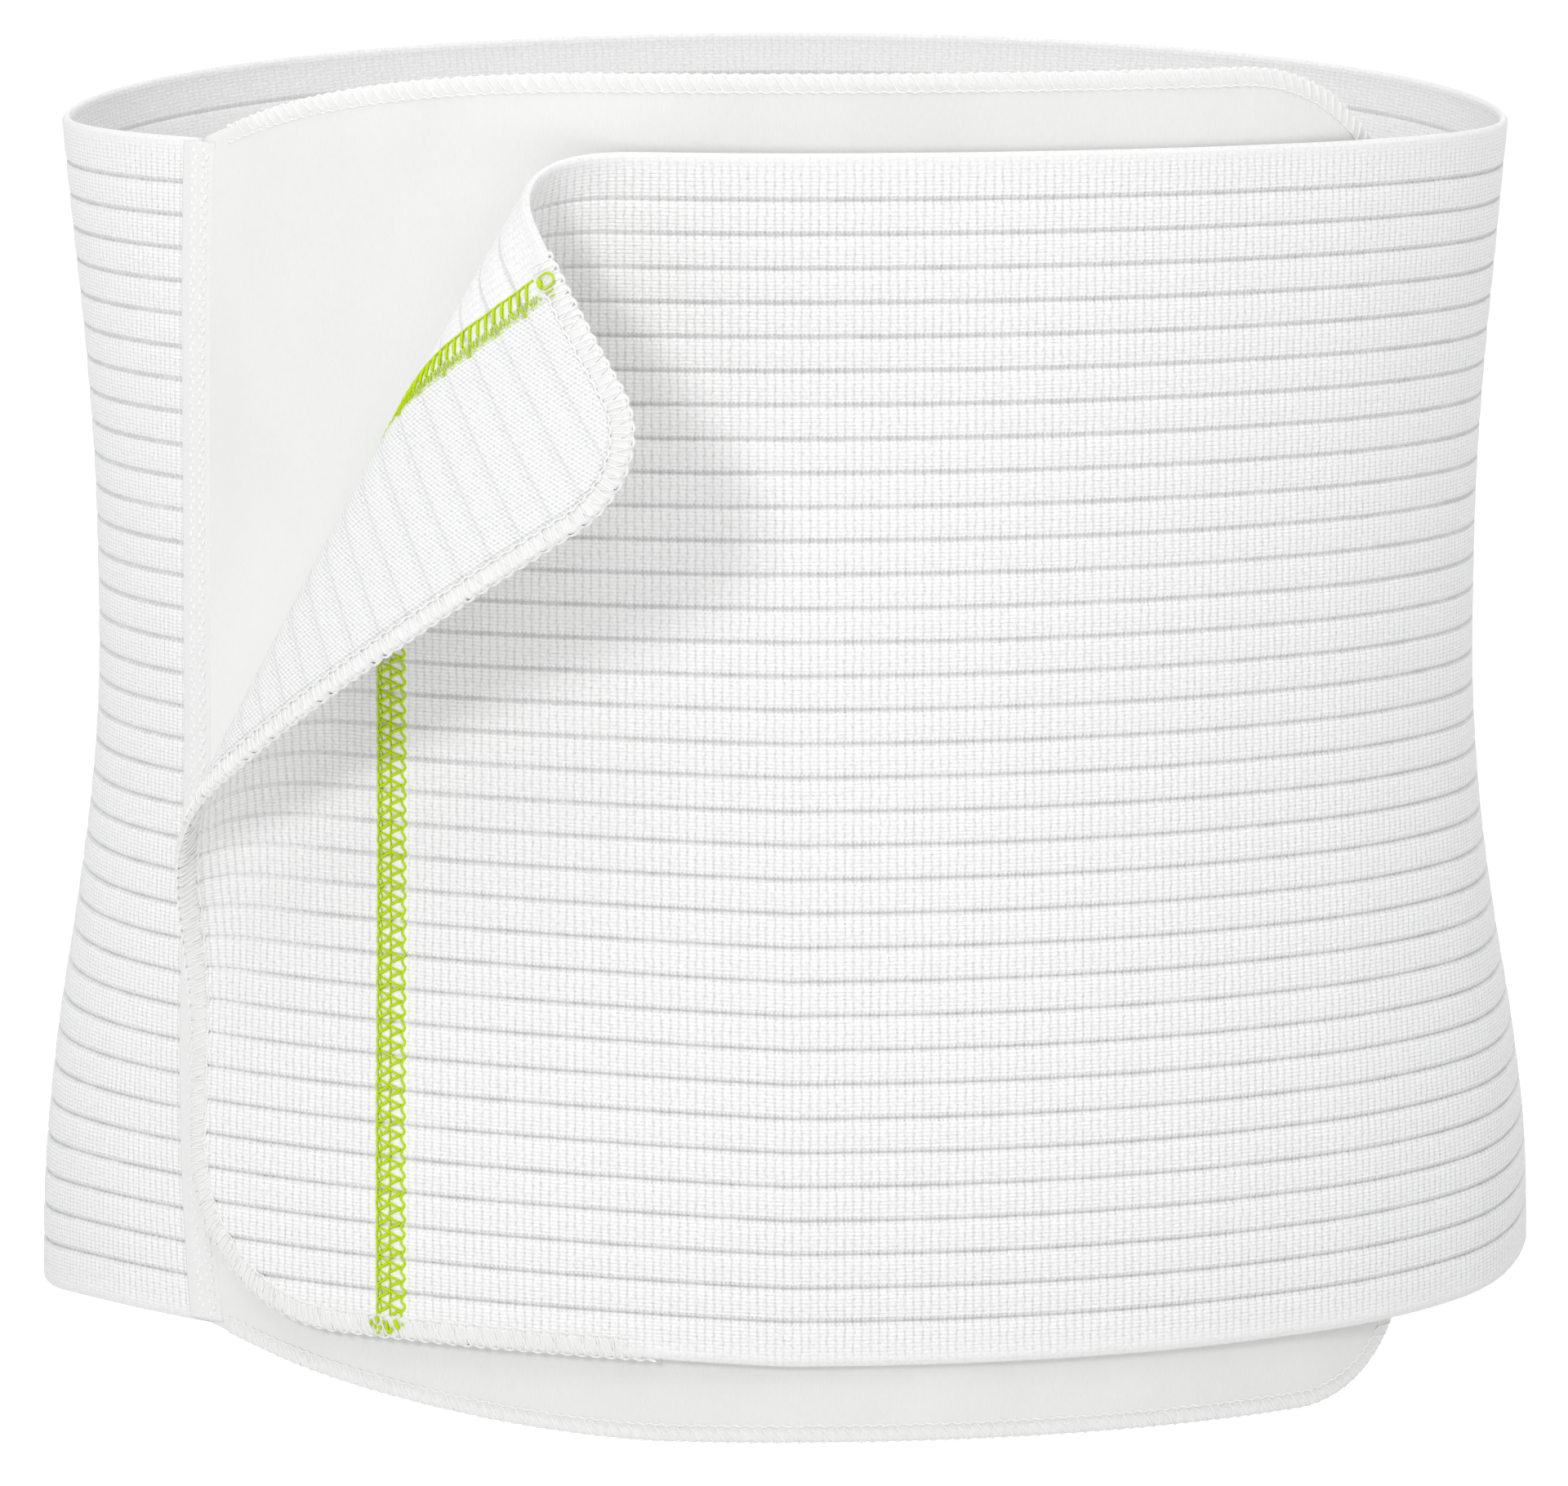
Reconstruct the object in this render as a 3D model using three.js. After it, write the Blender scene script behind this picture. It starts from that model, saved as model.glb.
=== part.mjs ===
// Abdominal binder: a ribbed elastic band worn once round the waist and closed in front over a
// velour panel. The upper corner of the closing flap is peeled open, as a page is turned.
// Millimetres, +Z up. The front faces -Y. The origin is the middle of the hollow that holds the
// torso, half way up the band.
//
// Places on the cloth are given as (along, height, offset): along the cloth, up from the band's
// lower edge, and outwards from the middle of the cloth's wall.
import * as THREE from 'three';

// Band of ribbed elastic
const BAND_HEIGHT = 250;
const BAND_WALL = 1.8;
const RIB_COUNT = 33;
const RIB_BORDER = 9.5;
const RIB_PITCH = (BAND_HEIGHT - 2 * RIB_BORDER) / RIB_COUNT;
const GROOVE_DEPTH = 0.5;

// Waist that the binder is worn on: an ellipse at every height, half widths to the band's outside
const DEPTH_RATIO = 0.72;
const MEAN_HALF_WIDTH = 156;
const BACK_RISE = 12;
const SECTION_STEP = 25;
const WAIST_SECTIONS = [
  { height: -25, halfWidth: 163.4 },
  { height: 0, halfWidth: 164.4 },
  { height: 25, halfWidth: 163.6 },
  { height: 50, halfWidth: 160.6 },
  { height: 75, halfWidth: 156.3 },
  { height: 100, halfWidth: 152.7 },
  { height: 125, halfWidth: 150.6 },
  { height: 150, halfWidth: 150.3 },
  { height: 175, halfWidth: 150.8 },
  { height: 200, halfWidth: 152.4 },
  { height: 225, halfWidth: 154.7 },
  { height: 250, halfWidth: 156.8 },
  { height: 275, halfWidth: 158.2 },
];

// Closing flap: where its free end lies, left of the front centre, and its rounded corners
const FLAP_END = -130.7;
const FLAP_CORNER_TOP = 21;
const FLAP_CORNER_BOTTOM = 36;

// Peeled corner: past a slanted line the cloth rolls off the body round a constant radius, then runs
// straight. The line meets the band's upper edge at a place along it and leans by an angle.
const PEEL_TOP = 103.2;
const PEEL_LINE = THREE.MathUtils.degToRad(27.6);
const PEEL_RADIUS = 14.6;
const PEEL_TURN = THREE.MathUtils.degToRad(145);
const PEEL_REACH = 118;

// Height of the band's middle over the torso: over the panel and the patch in front, then on the body
const BAND_LIFT = [
  { along: 0, lift: 4.9 },
  { along: 55, lift: 4.9 },
  { along: 112, lift: 4.2 },
  { along: 150, lift: 3.5 },
  { along: 235, lift: 3.5 },
  { along: 258, lift: 4.3 },
  { along: 288, lift: 4.3 },
  { along: 335, lift: BAND_WALL / 2 },
];

// Velour panel: from the seam at the left to its free end at the right, behind the flap
const PANEL_WALL = 1.8;
const PANEL_SEAM_AT = -134;
const PANEL_RIGHT = 141;
const PANEL_CORNER_TOP = 44;
const PANEL_CORNER_BOTTOM = 36;
const PANEL_OVER_TOP = 15.6;
const PANEL_OVER_BOTTOM = 16.6;
const PANEL_RISE_TOP = 105;
const PANEL_RISE_BOTTOM = 110;

// Hook patch and seams
const PATCH_INSET = 6.5;
const PATCH_REACH = 45.6;
const PATCH_WALL = 0.8;
const PATCH_GAP = 0.45;
const LIME_FROM = 46.1;
const LIME_TO = 52.3;
const LIME_END_GAP = 6.3;
const SEAM_WALL = 0.5;
const SEAM_HALF_WIDTH = 5;
const BINDING_WIDTH = 5.2;
const BINDING_WALL = 0.5;
const BINDING_GAP = 0.4;
const GAP = 0.3;

const { lerp, smoothstep, clamp } = THREE.MathUtils;

// Evenly spaced numbers from one value to another, both included.
function spread(from, to, steps) {
  return Array.from({ length: steps + 1 }, (_, k) => lerp(from, to, k / steps));
}

// The larger of two numbers, with the change from one to the other rounded off.
function softMax(a, b, round) {
  return (a + b + Math.hypot(a - b, round)) / 2;
}

// Half width of the waist at a height: a Catmull-Rom curve through the section table.
function halfWidth(height) {
  const last = WAIST_SECTIONS.length - 1;
  const position = clamp((height - WAIST_SECTIONS[0].height) / SECTION_STEP, 0, last - 1e-9);
  const k = Math.floor(position);
  const t = position - k;
  const width = (n) => WAIST_SECTIONS[clamp(n, 0, last)].halfWidth;
  const slopeA = (width(k + 1) - width(k - 1)) / 2;
  const slopeB = (width(k + 2) - width(k)) / 2;
  const rise = width(k + 1) - width(k);
  return width(k) + t * (slopeA + t * (3 * rise - 2 * slopeA - slopeB + t * (slopeA + slopeB - 2 * rise)));
}

// Arc length of the waist ellipse of half width 1, from the front centre to the back centre.
const ARC_STEPS = 1440;
const ARC_TABLE = [0];
for (let k = 0; k < ARC_STEPS; k += 1) {
  const angle = (Math.PI * (k + 0.5)) / ARC_STEPS;
  const speed = Math.hypot(Math.cos(angle), DEPTH_RATIO * Math.sin(angle));
  ARC_TABLE.push(ARC_TABLE[k] + (speed * Math.PI) / ARC_STEPS);
}
const HALF_LOOP = ARC_TABLE[ARC_STEPS] * MEAN_HALF_WIDTH;

// Angle round the waist, from the front centre, at an arc length of the ellipse of half width 1.
function angleAtArc(arc) {
  const target = Math.min(Math.abs(arc), ARC_TABLE[ARC_STEPS]);
  let low = 0;
  let high = ARC_STEPS;
  while (high - low > 1) {
    const middle = (low + high) >> 1;
    if (ARC_TABLE[middle] <= target) low = middle;
    else high = middle;
  }
  const part = (target - ARC_TABLE[low]) / (ARC_TABLE[high] - ARC_TABLE[low]);
  return (Math.sign(arc) * Math.PI * (low + part)) / ARC_STEPS;
}

// A point over the torso: across is the arc from the front centre, lift the distance off the skin.
// Lengths are true in front, and the rest of the loop takes up the waist's change of girth.
function onTorso(across, height, lift) {
  const side = across > HALF_LOOP ? across - 2 * HALF_LOOP : across;
  const a = halfWidth(height) - BAND_WALL;
  const stretch = 1 + (a / MEAN_HALF_WIDTH - 1) * (side / HALF_LOOP) ** 2;
  const angle = angleAtArc((side * stretch) / a);
  const normal = new THREE.Vector3(DEPTH_RATIO * Math.sin(angle), -Math.cos(angle), 0).normalize();
  const backness = (-Math.cos(angle) + Math.hypot(Math.cos(angle), 0.2)) / 2;
  const z = height - BAND_HEIGHT / 2 + BACK_RISE * backness;
  const skin = new THREE.Vector3(a * Math.sin(angle), -DEPTH_RATIO * a * Math.cos(angle), z);
  return skin.addScaledVector(normal, lift);
}

// Lift of the band's middle at a place along it, from the table, eased between its rows.
function restLift(along) {
  const next = BAND_LIFT.findIndex((row) => row.along > along);
  if (next < 0) return BAND_LIFT[BAND_LIFT.length - 1].lift;
  if (next === 0) return BAND_LIFT[0].lift;
  const from = BAND_LIFT[next - 1];
  const to = BAND_LIFT[next];
  return lerp(from.lift, to.lift, smoothstep(along, from.along, to.along));
}

// Where a point of the flap comes to lie when its corner is peeled: its distance past the peel line
// is wound round the roll, and what is left over runs on straight.
function peel(along, height) {
  const sin = Math.sin(PEEL_LINE);
  const cos = Math.cos(PEEL_LINE);
  const past = (height - BAND_HEIGHT) * sin - (along - PEEL_TOP) * cos;
  if (past <= 0) return new THREE.Vector3(along, height, 0);
  const run = (height - BAND_HEIGHT) * cos + (along - PEEL_TOP) * sin;
  const roll = Math.min(past / PEEL_RADIUS, PEEL_TURN);
  const rest = past - roll * PEEL_RADIUS;
  const across = PEEL_RADIUS * Math.sin(roll) + rest * Math.cos(roll);
  const lift = PEEL_RADIUS * (1 - Math.cos(roll)) + rest * Math.sin(roll);
  return new THREE.Vector3(
    PEEL_TOP + run * sin - across * cos,
    BAND_HEIGHT + run * cos + across * sin,
    lift,
  );
}

// Middle surface of the band.
function bandMiddle(along, height) {
  const place = peel(along, height);
  return onTorso(FLAP_END + place.x, place.y, restLift(place.x) + place.z);
}

// A point of the band's cloth, offset from the middle surface along its normal.
function onBand(along, height, offset) {
  const d = 0.02;
  const u = bandMiddle(along + d, height).sub(bandMiddle(along - d, height));
  const v = bandMiddle(along, height + d).sub(bandMiddle(along, height - d));
  const normal = u.cross(v).normalize();
  return bandMiddle(along, height).addScaledVector(normal, offset);
}

// A point of the panel's cloth.
function onPanel(across, height, offset) {
  return onTorso(across, height, PANEL_WALL / 2 + offset);
}

// Triangles collected by position, so that faces that meet share their corners.
class Solid {
  constructor() {
    this.points = [];
    this.index = [];
    this.known = new Map();
  }

  corner(point) {
    const key = point.toArray().map((value) => Math.round(value * 2000)).join();
    if (!this.known.has(key)) {
      this.known.set(key, this.points.length / 3);
      this.points.push(...point.toArray());
    }
    return this.known.get(key);
  }

  triangle(a, b, c) {
    const corners = [this.corner(a), this.corner(b), this.corner(c)];
    if (new Set(corners).size === 3) this.index.push(...corners);
  }

  // A strip between two lines of points, stepping along whichever is behind.
  strip(left, right) {
    let i = 0;
    let j = 0;
    while (i < left.length - 1 || j < right.length - 1) {
      const nextLeft = i < left.length - 1 ? left[i + 1].at : Infinity;
      const nextRight = j < right.length - 1 ? right[j + 1].at : Infinity;
      if (Math.abs(nextLeft - nextRight) < 1e-9) {
        this.triangle(left[i].point, right[j].point, right[j + 1].point);
        this.triangle(left[i].point, right[j + 1].point, left[i + 1].point);
        i += 1;
        j += 1;
      } else if (nextLeft < nextRight) {
        this.triangle(left[i].point, right[j].point, left[i + 1].point);
        i += 1;
      } else {
        this.triangle(left[i].point, right[j].point, right[j + 1].point);
        j += 1;
      }
    }
  }

  geometry() {
    const geometry = new THREE.BufferGeometry();
    const at = (n) => new THREE.Vector3().fromArray(this.points, 3 * n);
    let volume = 0;
    for (let k = 0; k < this.index.length; k += 3) {
      volume += at(this.index[k]).dot(at(this.index[k + 1]).cross(at(this.index[k + 2])));
    }
    const index = volume > 0 ? this.index : this.index.slice().reverse();
    geometry.setAttribute('position', new THREE.Float32BufferAttribute(this.points, 3));
    geometry.setIndex(index);
    geometry.computeVertexNormals();
    return geometry;
  }
}

// A closed wall of cloth from the lines of its outer and inner faces, line by line across it.
function wall(outer, inner) {
  const solid = new Solid();
  const last = outer.length - 1;
  const rim = (lines, end) => lines.map((line, at) => ({ at, point: line.at(end).point }));
  for (let k = 0; k < last; k += 1) {
    solid.strip(outer[k], outer[k + 1]);
    solid.strip(inner[k + 1], inner[k]);
  }
  solid.strip(inner[0], outer[0]);
  solid.strip(outer[last], inner[last]);
  solid.strip(rim(outer, 0), rim(inner, 0));
  solid.strip(rim(inner, -1), rim(outer, -1));
  return solid.geometry();
}

// A thread binding folded over an edge: a U section carried along the stations of the edge.
function binding(stations, place, wallThickness) {
  const outside = wallThickness / 2 + BINDING_GAP + BINDING_WALL;
  const inside = wallThickness / 2 + BINDING_GAP;
  const profile = [
    { inwards: BINDING_WIDTH, offset: outside },
    { inwards: -BINDING_GAP - BINDING_WALL, offset: outside },
    { inwards: -BINDING_GAP - BINDING_WALL, offset: -outside },
    { inwards: BINDING_WIDTH, offset: -outside },
    { inwards: BINDING_WIDTH, offset: -inside },
    { inwards: -BINDING_GAP, offset: -inside },
    { inwards: -BINDING_GAP, offset: inside },
    { inwards: BINDING_WIDTH, offset: inside },
  ];
  const solid = new Solid();
  const rings = stations.map((edge) => profile.map(({ inwards, offset }) => {
    const along = edge.along + inwards * edge.inAlong;
    return place(along, edge.height + inwards * edge.inHeight, offset);
  }));
  const closed = (ring) => [...ring, ring[0]].map((point, at) => ({ at, point }));
  for (let k = 0; k < rings.length - 1; k += 1) solid.strip(closed(rings[k]), closed(rings[k + 1]));
  const outline = profile.map(({ inwards, offset }) => new THREE.Vector2(inwards, offset));
  const flip = THREE.ShapeUtils.isClockWise(outline);
  for (const face of THREE.ShapeUtils.triangulateShape(outline, [])) {
    const [a, b, c] = flip ? face.slice().reverse() : face;
    const first = rings[0];
    const end = rings[rings.length - 1];
    solid.triangle(first[a], first[b], first[c]);
    solid.triangle(end[c], end[b], end[a]);
  }
  return solid.geometry();
}

// Points of one line of a face, at the given heights.
function line(heights, point) {
  return heights.map((height) => ({ at: height, point: point(height) }));
}

// Place along the band of its rounded free end at a height, or of a line set in from that end.
function flapEdge(height, inset) {
  const low = Math.max(0, FLAP_CORNER_BOTTOM - height);
  const high = Math.max(0, FLAP_CORNER_TOP - (BAND_HEIGHT - height));
  const round = (radius, past) => radius - Math.sqrt(Math.max(0, (radius - inset) ** 2 - past ** 2));
  return Math.max(round(FLAP_CORNER_BOTTOM, low), round(FLAP_CORNER_TOP, high));
}

// Place along the band where a line of the roll, at a share of its turn, crosses a height.
function rollAlong(height, share) {
  const back = (share * PEEL_TURN * PEEL_RADIUS) / Math.cos(PEEL_LINE);
  return PEEL_TOP - back - (BAND_HEIGHT - height) * Math.tan(PEEL_LINE);
}

// Height at which such a line crosses a place along the band.
function rollHeight(along, share) {
  return BAND_HEIGHT - (rollAlong(BAND_HEIGHT, share) - along) / Math.tan(PEEL_LINE);
}

// Elastic band. Rows run along the ribs: a crest and a groove each. Columns follow the lines of the
// roll over the flap, then stand upright. The free end leaves the body between two heights.
const LEAVES_FROM = 48;
const LEAVES_TO = 136;
const grooveRows = spread(RIB_BORDER, BAND_HEIGHT - RIB_BORDER, RIB_COUNT);
const crestRows = grooveRows.slice(1).map((height) => height - RIB_PITCH / 2);
const borderRows = [0, RIB_BORDER / 2, BAND_HEIGHT - RIB_BORDER / 2, BAND_HEIGHT];
const ribRows = [...grooveRows, ...crestRows, ...borderRows].sort((a, b) => a - b);
const isGroove = (height) => grooveRows.some((groove) => Math.abs(groove - height) < 1e-6);
const leaves = (height) => height > LEAVES_FROM && height < LEAVES_TO;
const cornerRows = [1.2, BAND_HEIGHT - 0.8];
const flapRows = [...ribRows, ...cornerRows].sort((a, b) => a - b);
const inCorner = (height) => height < FLAP_CORNER_BOTTOM || height > BAND_HEIGHT - FLAP_CORNER_TOP;
const flapInnerRows = flapRows.filter((height, k) => inCorner(height) || k % (leaves(height) ? 2 : 4) === 0);
const bodyInnerRows = spread(0, BAND_HEIGHT, 9);
const BAND_LENGTH = 2 * HALF_LOOP + PANEL_SEAM_AT - 0.2 - FLAP_END;
const FRONT_LENGTH = 285;

function flapColumns(height) {
  const edge = flapEdge(height, 0);
  const rollEnd = softMax(rollAlong(height, 1), edge + 3, 2);
  const rollStart = softMax(rollAlong(height, 0), edge + 10, 2);
  const folded = spread(edge, rollEnd, 4);
  const rolled = spread(rollEnd, rollStart, 7).slice(1);
  const flat = spread(rollStart, PEEL_REACH, 7).slice(1);
  return [...folded, ...rolled, ...flat];
}

const flapLineCount = flapColumns(0).length;
const bodyColumns = [
  ...spread(PEEL_REACH, FRONT_LENGTH, 8).slice(1),
  ...spread(FRONT_LENGTH, BAND_LENGTH, 17).slice(1),
];

function bandFace(flapHeights, bodyHeights, offsetAt) {
  const flapLines = Array.from({ length: flapLineCount }, (_, k) => line(
    flapHeights,
    (height) => onBand(flapColumns(height)[k], height, offsetAt(height)),
  ));
  const bodyLines = bodyColumns.map((along) => line(
    bodyHeights,
    (height) => onBand(along, height, offsetAt(height)),
  ));
  return [...flapLines, ...bodyLines];
}

const bandOuter = (height) => BAND_WALL / 2 - (isGroove(height) ? GROOVE_DEPTH : 0);
const bandInner = () => -BAND_WALL / 2;
const elasticGeometry = wall(
  bandFace(flapRows, ribRows, bandOuter),
  bandFace(flapInnerRows, bodyInnerRows, bandInner),
);

// Velour panel: level with the band at the seam, rising above and below it, rounded at its end.
function panelTop(across) {
  const part = clamp((across - PANEL_SEAM_AT) / PANEL_RISE_TOP, 0, 1);
  const plain = BAND_HEIGHT + PANEL_OVER_TOP * (1 - (1 - part) ** 2.5);
  const past = clamp(across - (PANEL_RIGHT - PANEL_CORNER_TOP), 0, PANEL_CORNER_TOP);
  return plain - PANEL_CORNER_TOP + Math.sqrt(PANEL_CORNER_TOP ** 2 - past ** 2);
}

function panelBottom(across) {
  const part = clamp((across - PANEL_SEAM_AT) / PANEL_RISE_BOTTOM, 0, 1);
  const plain = -PANEL_OVER_BOTTOM * (1 - (1 - part) ** 1.6);
  const past = clamp(across - (PANEL_RIGHT - PANEL_CORNER_BOTTOM), 0, PANEL_CORNER_BOTTOM);
  return plain + PANEL_CORNER_BOTTOM - Math.sqrt(PANEL_CORNER_BOTTOM ** 2 - past ** 2);
}

const cornerColumns = spread(0, Math.PI / 2, 6).slice(1);
const BINDING_STARTS = PANEL_SEAM_AT + SEAM_HALF_WIDTH + 1;
const panelColumns = [
  PANEL_SEAM_AT + 0.2,
  ...spread(BINDING_STARTS, PANEL_RIGHT - PANEL_CORNER_TOP, 13),
  ...cornerColumns.map((angle) => PANEL_RIGHT - PANEL_CORNER_TOP * (1 - Math.sin(angle))),
];

function panelFace(offset) {
  return panelColumns.map((across) => spread(0, 1, 8).map((at) => {
    const height = lerp(panelBottom(across), panelTop(across), at);
    return { at, point: onPanel(across, height, offset) };
  }));
}

const panelGeometry = wall(panelFace(PANEL_WALL / 2), panelFace(-PANEL_WALL / 2));

// Seam that joins the panel to the band's end: a flat band of thread over both edges.
const seamColumns = spread(PANEL_SEAM_AT - SEAM_HALF_WIDTH, PANEL_SEAM_AT + SEAM_HALF_WIDTH, 3);

function seamFace(offset) {
  const heights = spread(1, BAND_HEIGHT - 1, 16);
  return seamColumns.map((across) => line(heights, (height) => onPanel(across, height, offset)));
}

const seamGeometry = wall(
  seamFace(PANEL_WALL / 2 + GAP + SEAM_WALL),
  seamFace(PANEL_WALL / 2 + GAP),
);

// A strip on the flap between two places along it. Its rows lie on the lines of the roll and level
// out towards the strip's lower and upper ends.
function flapStrip(from, to, columns, low, high, nearOffset, farOffset) {
  const rows = [
    ...spread(0, 1, 10).map((t) => [lerp(low, rollHeight(from, 0), t), lerp(low, rollHeight(to, 0), t)]),
    ...spread(0, 1, 12).slice(1).map((share) => [rollHeight(from, share), rollHeight(to, share)]),
    ...spread(0, 1, 7).slice(1).map((t) => [
      lerp(rollHeight(from, 1), high, t),
      lerp(rollHeight(to, 1), high, t),
    ]),
  ];
  const face = (offset) => spread(0, 1, columns).map((part) => rows.map(([near, far], at) => {
    const height = lerp(near, far, part);
    const edge = Math.max(from, flapEdge(height, PATCH_INSET));
    return { at, point: onBand(lerp(edge, to, part), height, offset) };
  }));
  return wall(face(nearOffset), face(farOffset));
}

// Hook patch on the inner face of the flap's end, and the two faces of the seam that holds it.
const patchGeometry = flapStrip(
  PATCH_INSET,
  PATCH_REACH,
  4,
  PATCH_INSET,
  BAND_HEIGHT - PATCH_INSET,
  -BAND_WALL / 2 - PATCH_GAP,
  -BAND_WALL / 2 - PATCH_GAP - PATCH_WALL,
);

function limeBand(nearOffset, farOffset) {
  return flapStrip(LIME_FROM, LIME_TO, 1, LIME_END_GAP, BAND_HEIGHT - LIME_END_GAP, nearOffset, farOffset);
}

const limeGeometry = limeBand(BAND_WALL / 2 + GAP + SEAM_WALL, BAND_WALL / 2 + GAP);
const limeBackGeometry = limeBand(-BAND_WALL / 2 - PATCH_GAP, -BAND_WALL / 2 - PATCH_GAP - SEAM_WALL);

// Bindings. A station is a point of the edge with the direction into the cloth.
function straight(from, to, steps, inAlong, inHeight) {
  return spread(0, 1, steps).slice(1).map((t) => ({
    along: lerp(from[0], to[0], t),
    height: lerp(from[1], to[1], t),
    inAlong,
    inHeight,
  }));
}

function corner(centre, radius, fromAngle, toAngle, steps) {
  return spread(fromAngle, toAngle, steps).slice(1).map((angle) => ({
    along: centre[0] + radius * Math.cos(angle),
    height: centre[1] + radius * Math.sin(angle),
    inAlong: -Math.cos(angle),
    inHeight: -Math.sin(angle),
  }));
}

const TOP_CORNER_AT = [FLAP_CORNER_TOP, BAND_HEIGHT - FLAP_CORNER_TOP];
const BOTTOM_CORNER_AT = [FLAP_CORNER_BOTTOM, FLAP_CORNER_BOTTOM];
const flapEdgeStations = [
  { along: PEEL_REACH, height: 0, inAlong: 0, inHeight: 1 },
  ...straight([PEEL_REACH, 0], [FLAP_CORNER_BOTTOM, 0], 6, 0, 1),
  ...corner(BOTTOM_CORNER_AT, FLAP_CORNER_BOTTOM, 1.5 * Math.PI, Math.PI, 8),
  ...straight([0, FLAP_CORNER_BOTTOM], [0, LEAVES_FROM], 3, 1, 0),
  ...straight([0, LEAVES_FROM], [0, LEAVES_TO], 18, 1, 0),
  ...straight([0, LEAVES_TO], [0, BAND_HEIGHT - FLAP_CORNER_TOP], 6, 1, 0),
  ...corner(TOP_CORNER_AT, FLAP_CORNER_TOP, Math.PI, 0.5 * Math.PI, 6),
  ...straight([FLAP_CORNER_TOP, BAND_HEIGHT], [rollAlong(BAND_HEIGHT, 1) - 2, BAND_HEIGHT], 3, 0, -1),
  ...straight(
    [rollAlong(BAND_HEIGHT, 1) - 2, BAND_HEIGHT],
    [rollAlong(BAND_HEIGHT, 0) + 2, BAND_HEIGHT],
    12,
    0,
    -1,
  ),
  ...straight([rollAlong(BAND_HEIGHT, 0) + 2, BAND_HEIGHT], [PEEL_REACH, BAND_HEIGHT], 2, 0, -1),
];
// Through the roll the binding's sections lie along its lines, as the cloth bends across them.
const rolledStations = flapEdgeStations.map((edge) => {
  const onRoll = smoothstep(edge.height, 38, 62) * (1 - smoothstep(edge.height, LEAVES_TO, 176));
  const topRoll = smoothstep(edge.along, 34, 60) * (1 - smoothstep(edge.along, PEEL_TOP, PEEL_REACH));
  if (edge.inAlong === 1) return { ...edge, inHeight: onRoll / Math.tan(PEEL_LINE) };
  if (edge.inHeight === -1) return { ...edge, inAlong: -topRoll * Math.tan(PEEL_LINE) };
  return edge;
});
const flapBindingGeometry = binding(rolledStations, onBand, BAND_WALL);

// The panel's edge, as stations with their inward direction worked out from their neighbours.
const edgeColumns = panelColumns.slice(1);
const edgeSides = spread(0, 1, 9).slice(1, -1);
const panelEdge = [
  ...edgeColumns.map((across) => [across, panelTop(across)]),
  ...edgeSides.map((t) => [PANEL_RIGHT, lerp(panelTop(PANEL_RIGHT), panelBottom(PANEL_RIGHT), t)]),
  ...edgeColumns.slice().reverse().map((across) => [across, panelBottom(across)]),
];
const panelEdgeStations = panelEdge.map(([along, height], k) => {
  const before = panelEdge[Math.max(0, k - 1)];
  const after = panelEdge[Math.min(panelEdge.length - 1, k + 1)];
  const run = new THREE.Vector2(after[0] - before[0], after[1] - before[1]).normalize();
  return { along, height, inAlong: run.y, inHeight: -run.x };
});
const panelBindingGeometry = binding(panelEdgeStations, onPanel, PANEL_WALL);

// Colours and finish
const elasticWhite = new THREE.MeshStandardMaterial({ color: 0xf1f1ef, roughness: 0.85, metalness: 0 });
const velourWhite = new THREE.MeshStandardMaterial({ color: 0xf4f4f3, roughness: 0.95, metalness: 0 });
const hookWhite = new THREE.MeshStandardMaterial({ color: 0xf0f0ef, roughness: 0.7, metalness: 0 });
const threadWhite = new THREE.MeshStandardMaterial({ color: 0xfafafa, roughness: 0.7, metalness: 0 });
const threadLime = new THREE.MeshStandardMaterial({ color: 0x9ed004, roughness: 0.6, metalness: 0 });

function piece(name, geometry, material) {
  const mesh = new THREE.Mesh(geometry, material);
  mesh.name = name;
  return mesh;
}

const binder = new THREE.Group();
binder.add(
  piece('elastic_wrap', elasticGeometry, elasticWhite),
  piece('velour_panel', panelGeometry, velourWhite),
  piece('panel_seam', seamGeometry, threadWhite),
  piece('panel_overlock', panelBindingGeometry, threadWhite),
  piece('hook_patch', patchGeometry, hookWhite),
  piece('flap_overlock', flapBindingGeometry, threadWhite),
  piece('lime_seam', limeGeometry, threadLime),
  piece('lime_seam_back', limeBackGeometry, threadLime),
);

export default binder;
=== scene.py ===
"""Abdominal binder worn on an unseen waist: a ribbed elastic band closed in front over a velour panel,
with the upper corner of its hook flap peeled open. Shapes are worked out in millimetres and put into
the meshes in metres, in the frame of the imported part: +Z up, front towards -Y."""
import math

import bpy
import numpy as np
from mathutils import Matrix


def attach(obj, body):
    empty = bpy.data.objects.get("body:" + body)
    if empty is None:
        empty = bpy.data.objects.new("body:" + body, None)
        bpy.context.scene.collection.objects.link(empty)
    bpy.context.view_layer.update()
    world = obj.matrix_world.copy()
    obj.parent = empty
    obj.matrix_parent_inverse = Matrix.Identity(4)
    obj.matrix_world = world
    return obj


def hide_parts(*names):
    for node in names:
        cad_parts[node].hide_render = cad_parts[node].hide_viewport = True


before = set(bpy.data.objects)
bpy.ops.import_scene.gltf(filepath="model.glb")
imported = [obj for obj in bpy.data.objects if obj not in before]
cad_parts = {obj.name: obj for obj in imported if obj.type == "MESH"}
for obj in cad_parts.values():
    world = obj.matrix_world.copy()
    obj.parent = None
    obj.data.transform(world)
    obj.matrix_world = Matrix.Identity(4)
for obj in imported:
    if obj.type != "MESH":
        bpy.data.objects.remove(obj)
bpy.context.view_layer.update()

# Velour panel: the brushed inner layer across the front, 1.8 mm thick. It is cut taller than the band,
# sewn to the band's end at the left, and rounded at its free end, which lies hidden under the flap.
MILLIMETRE = 0.001
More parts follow.
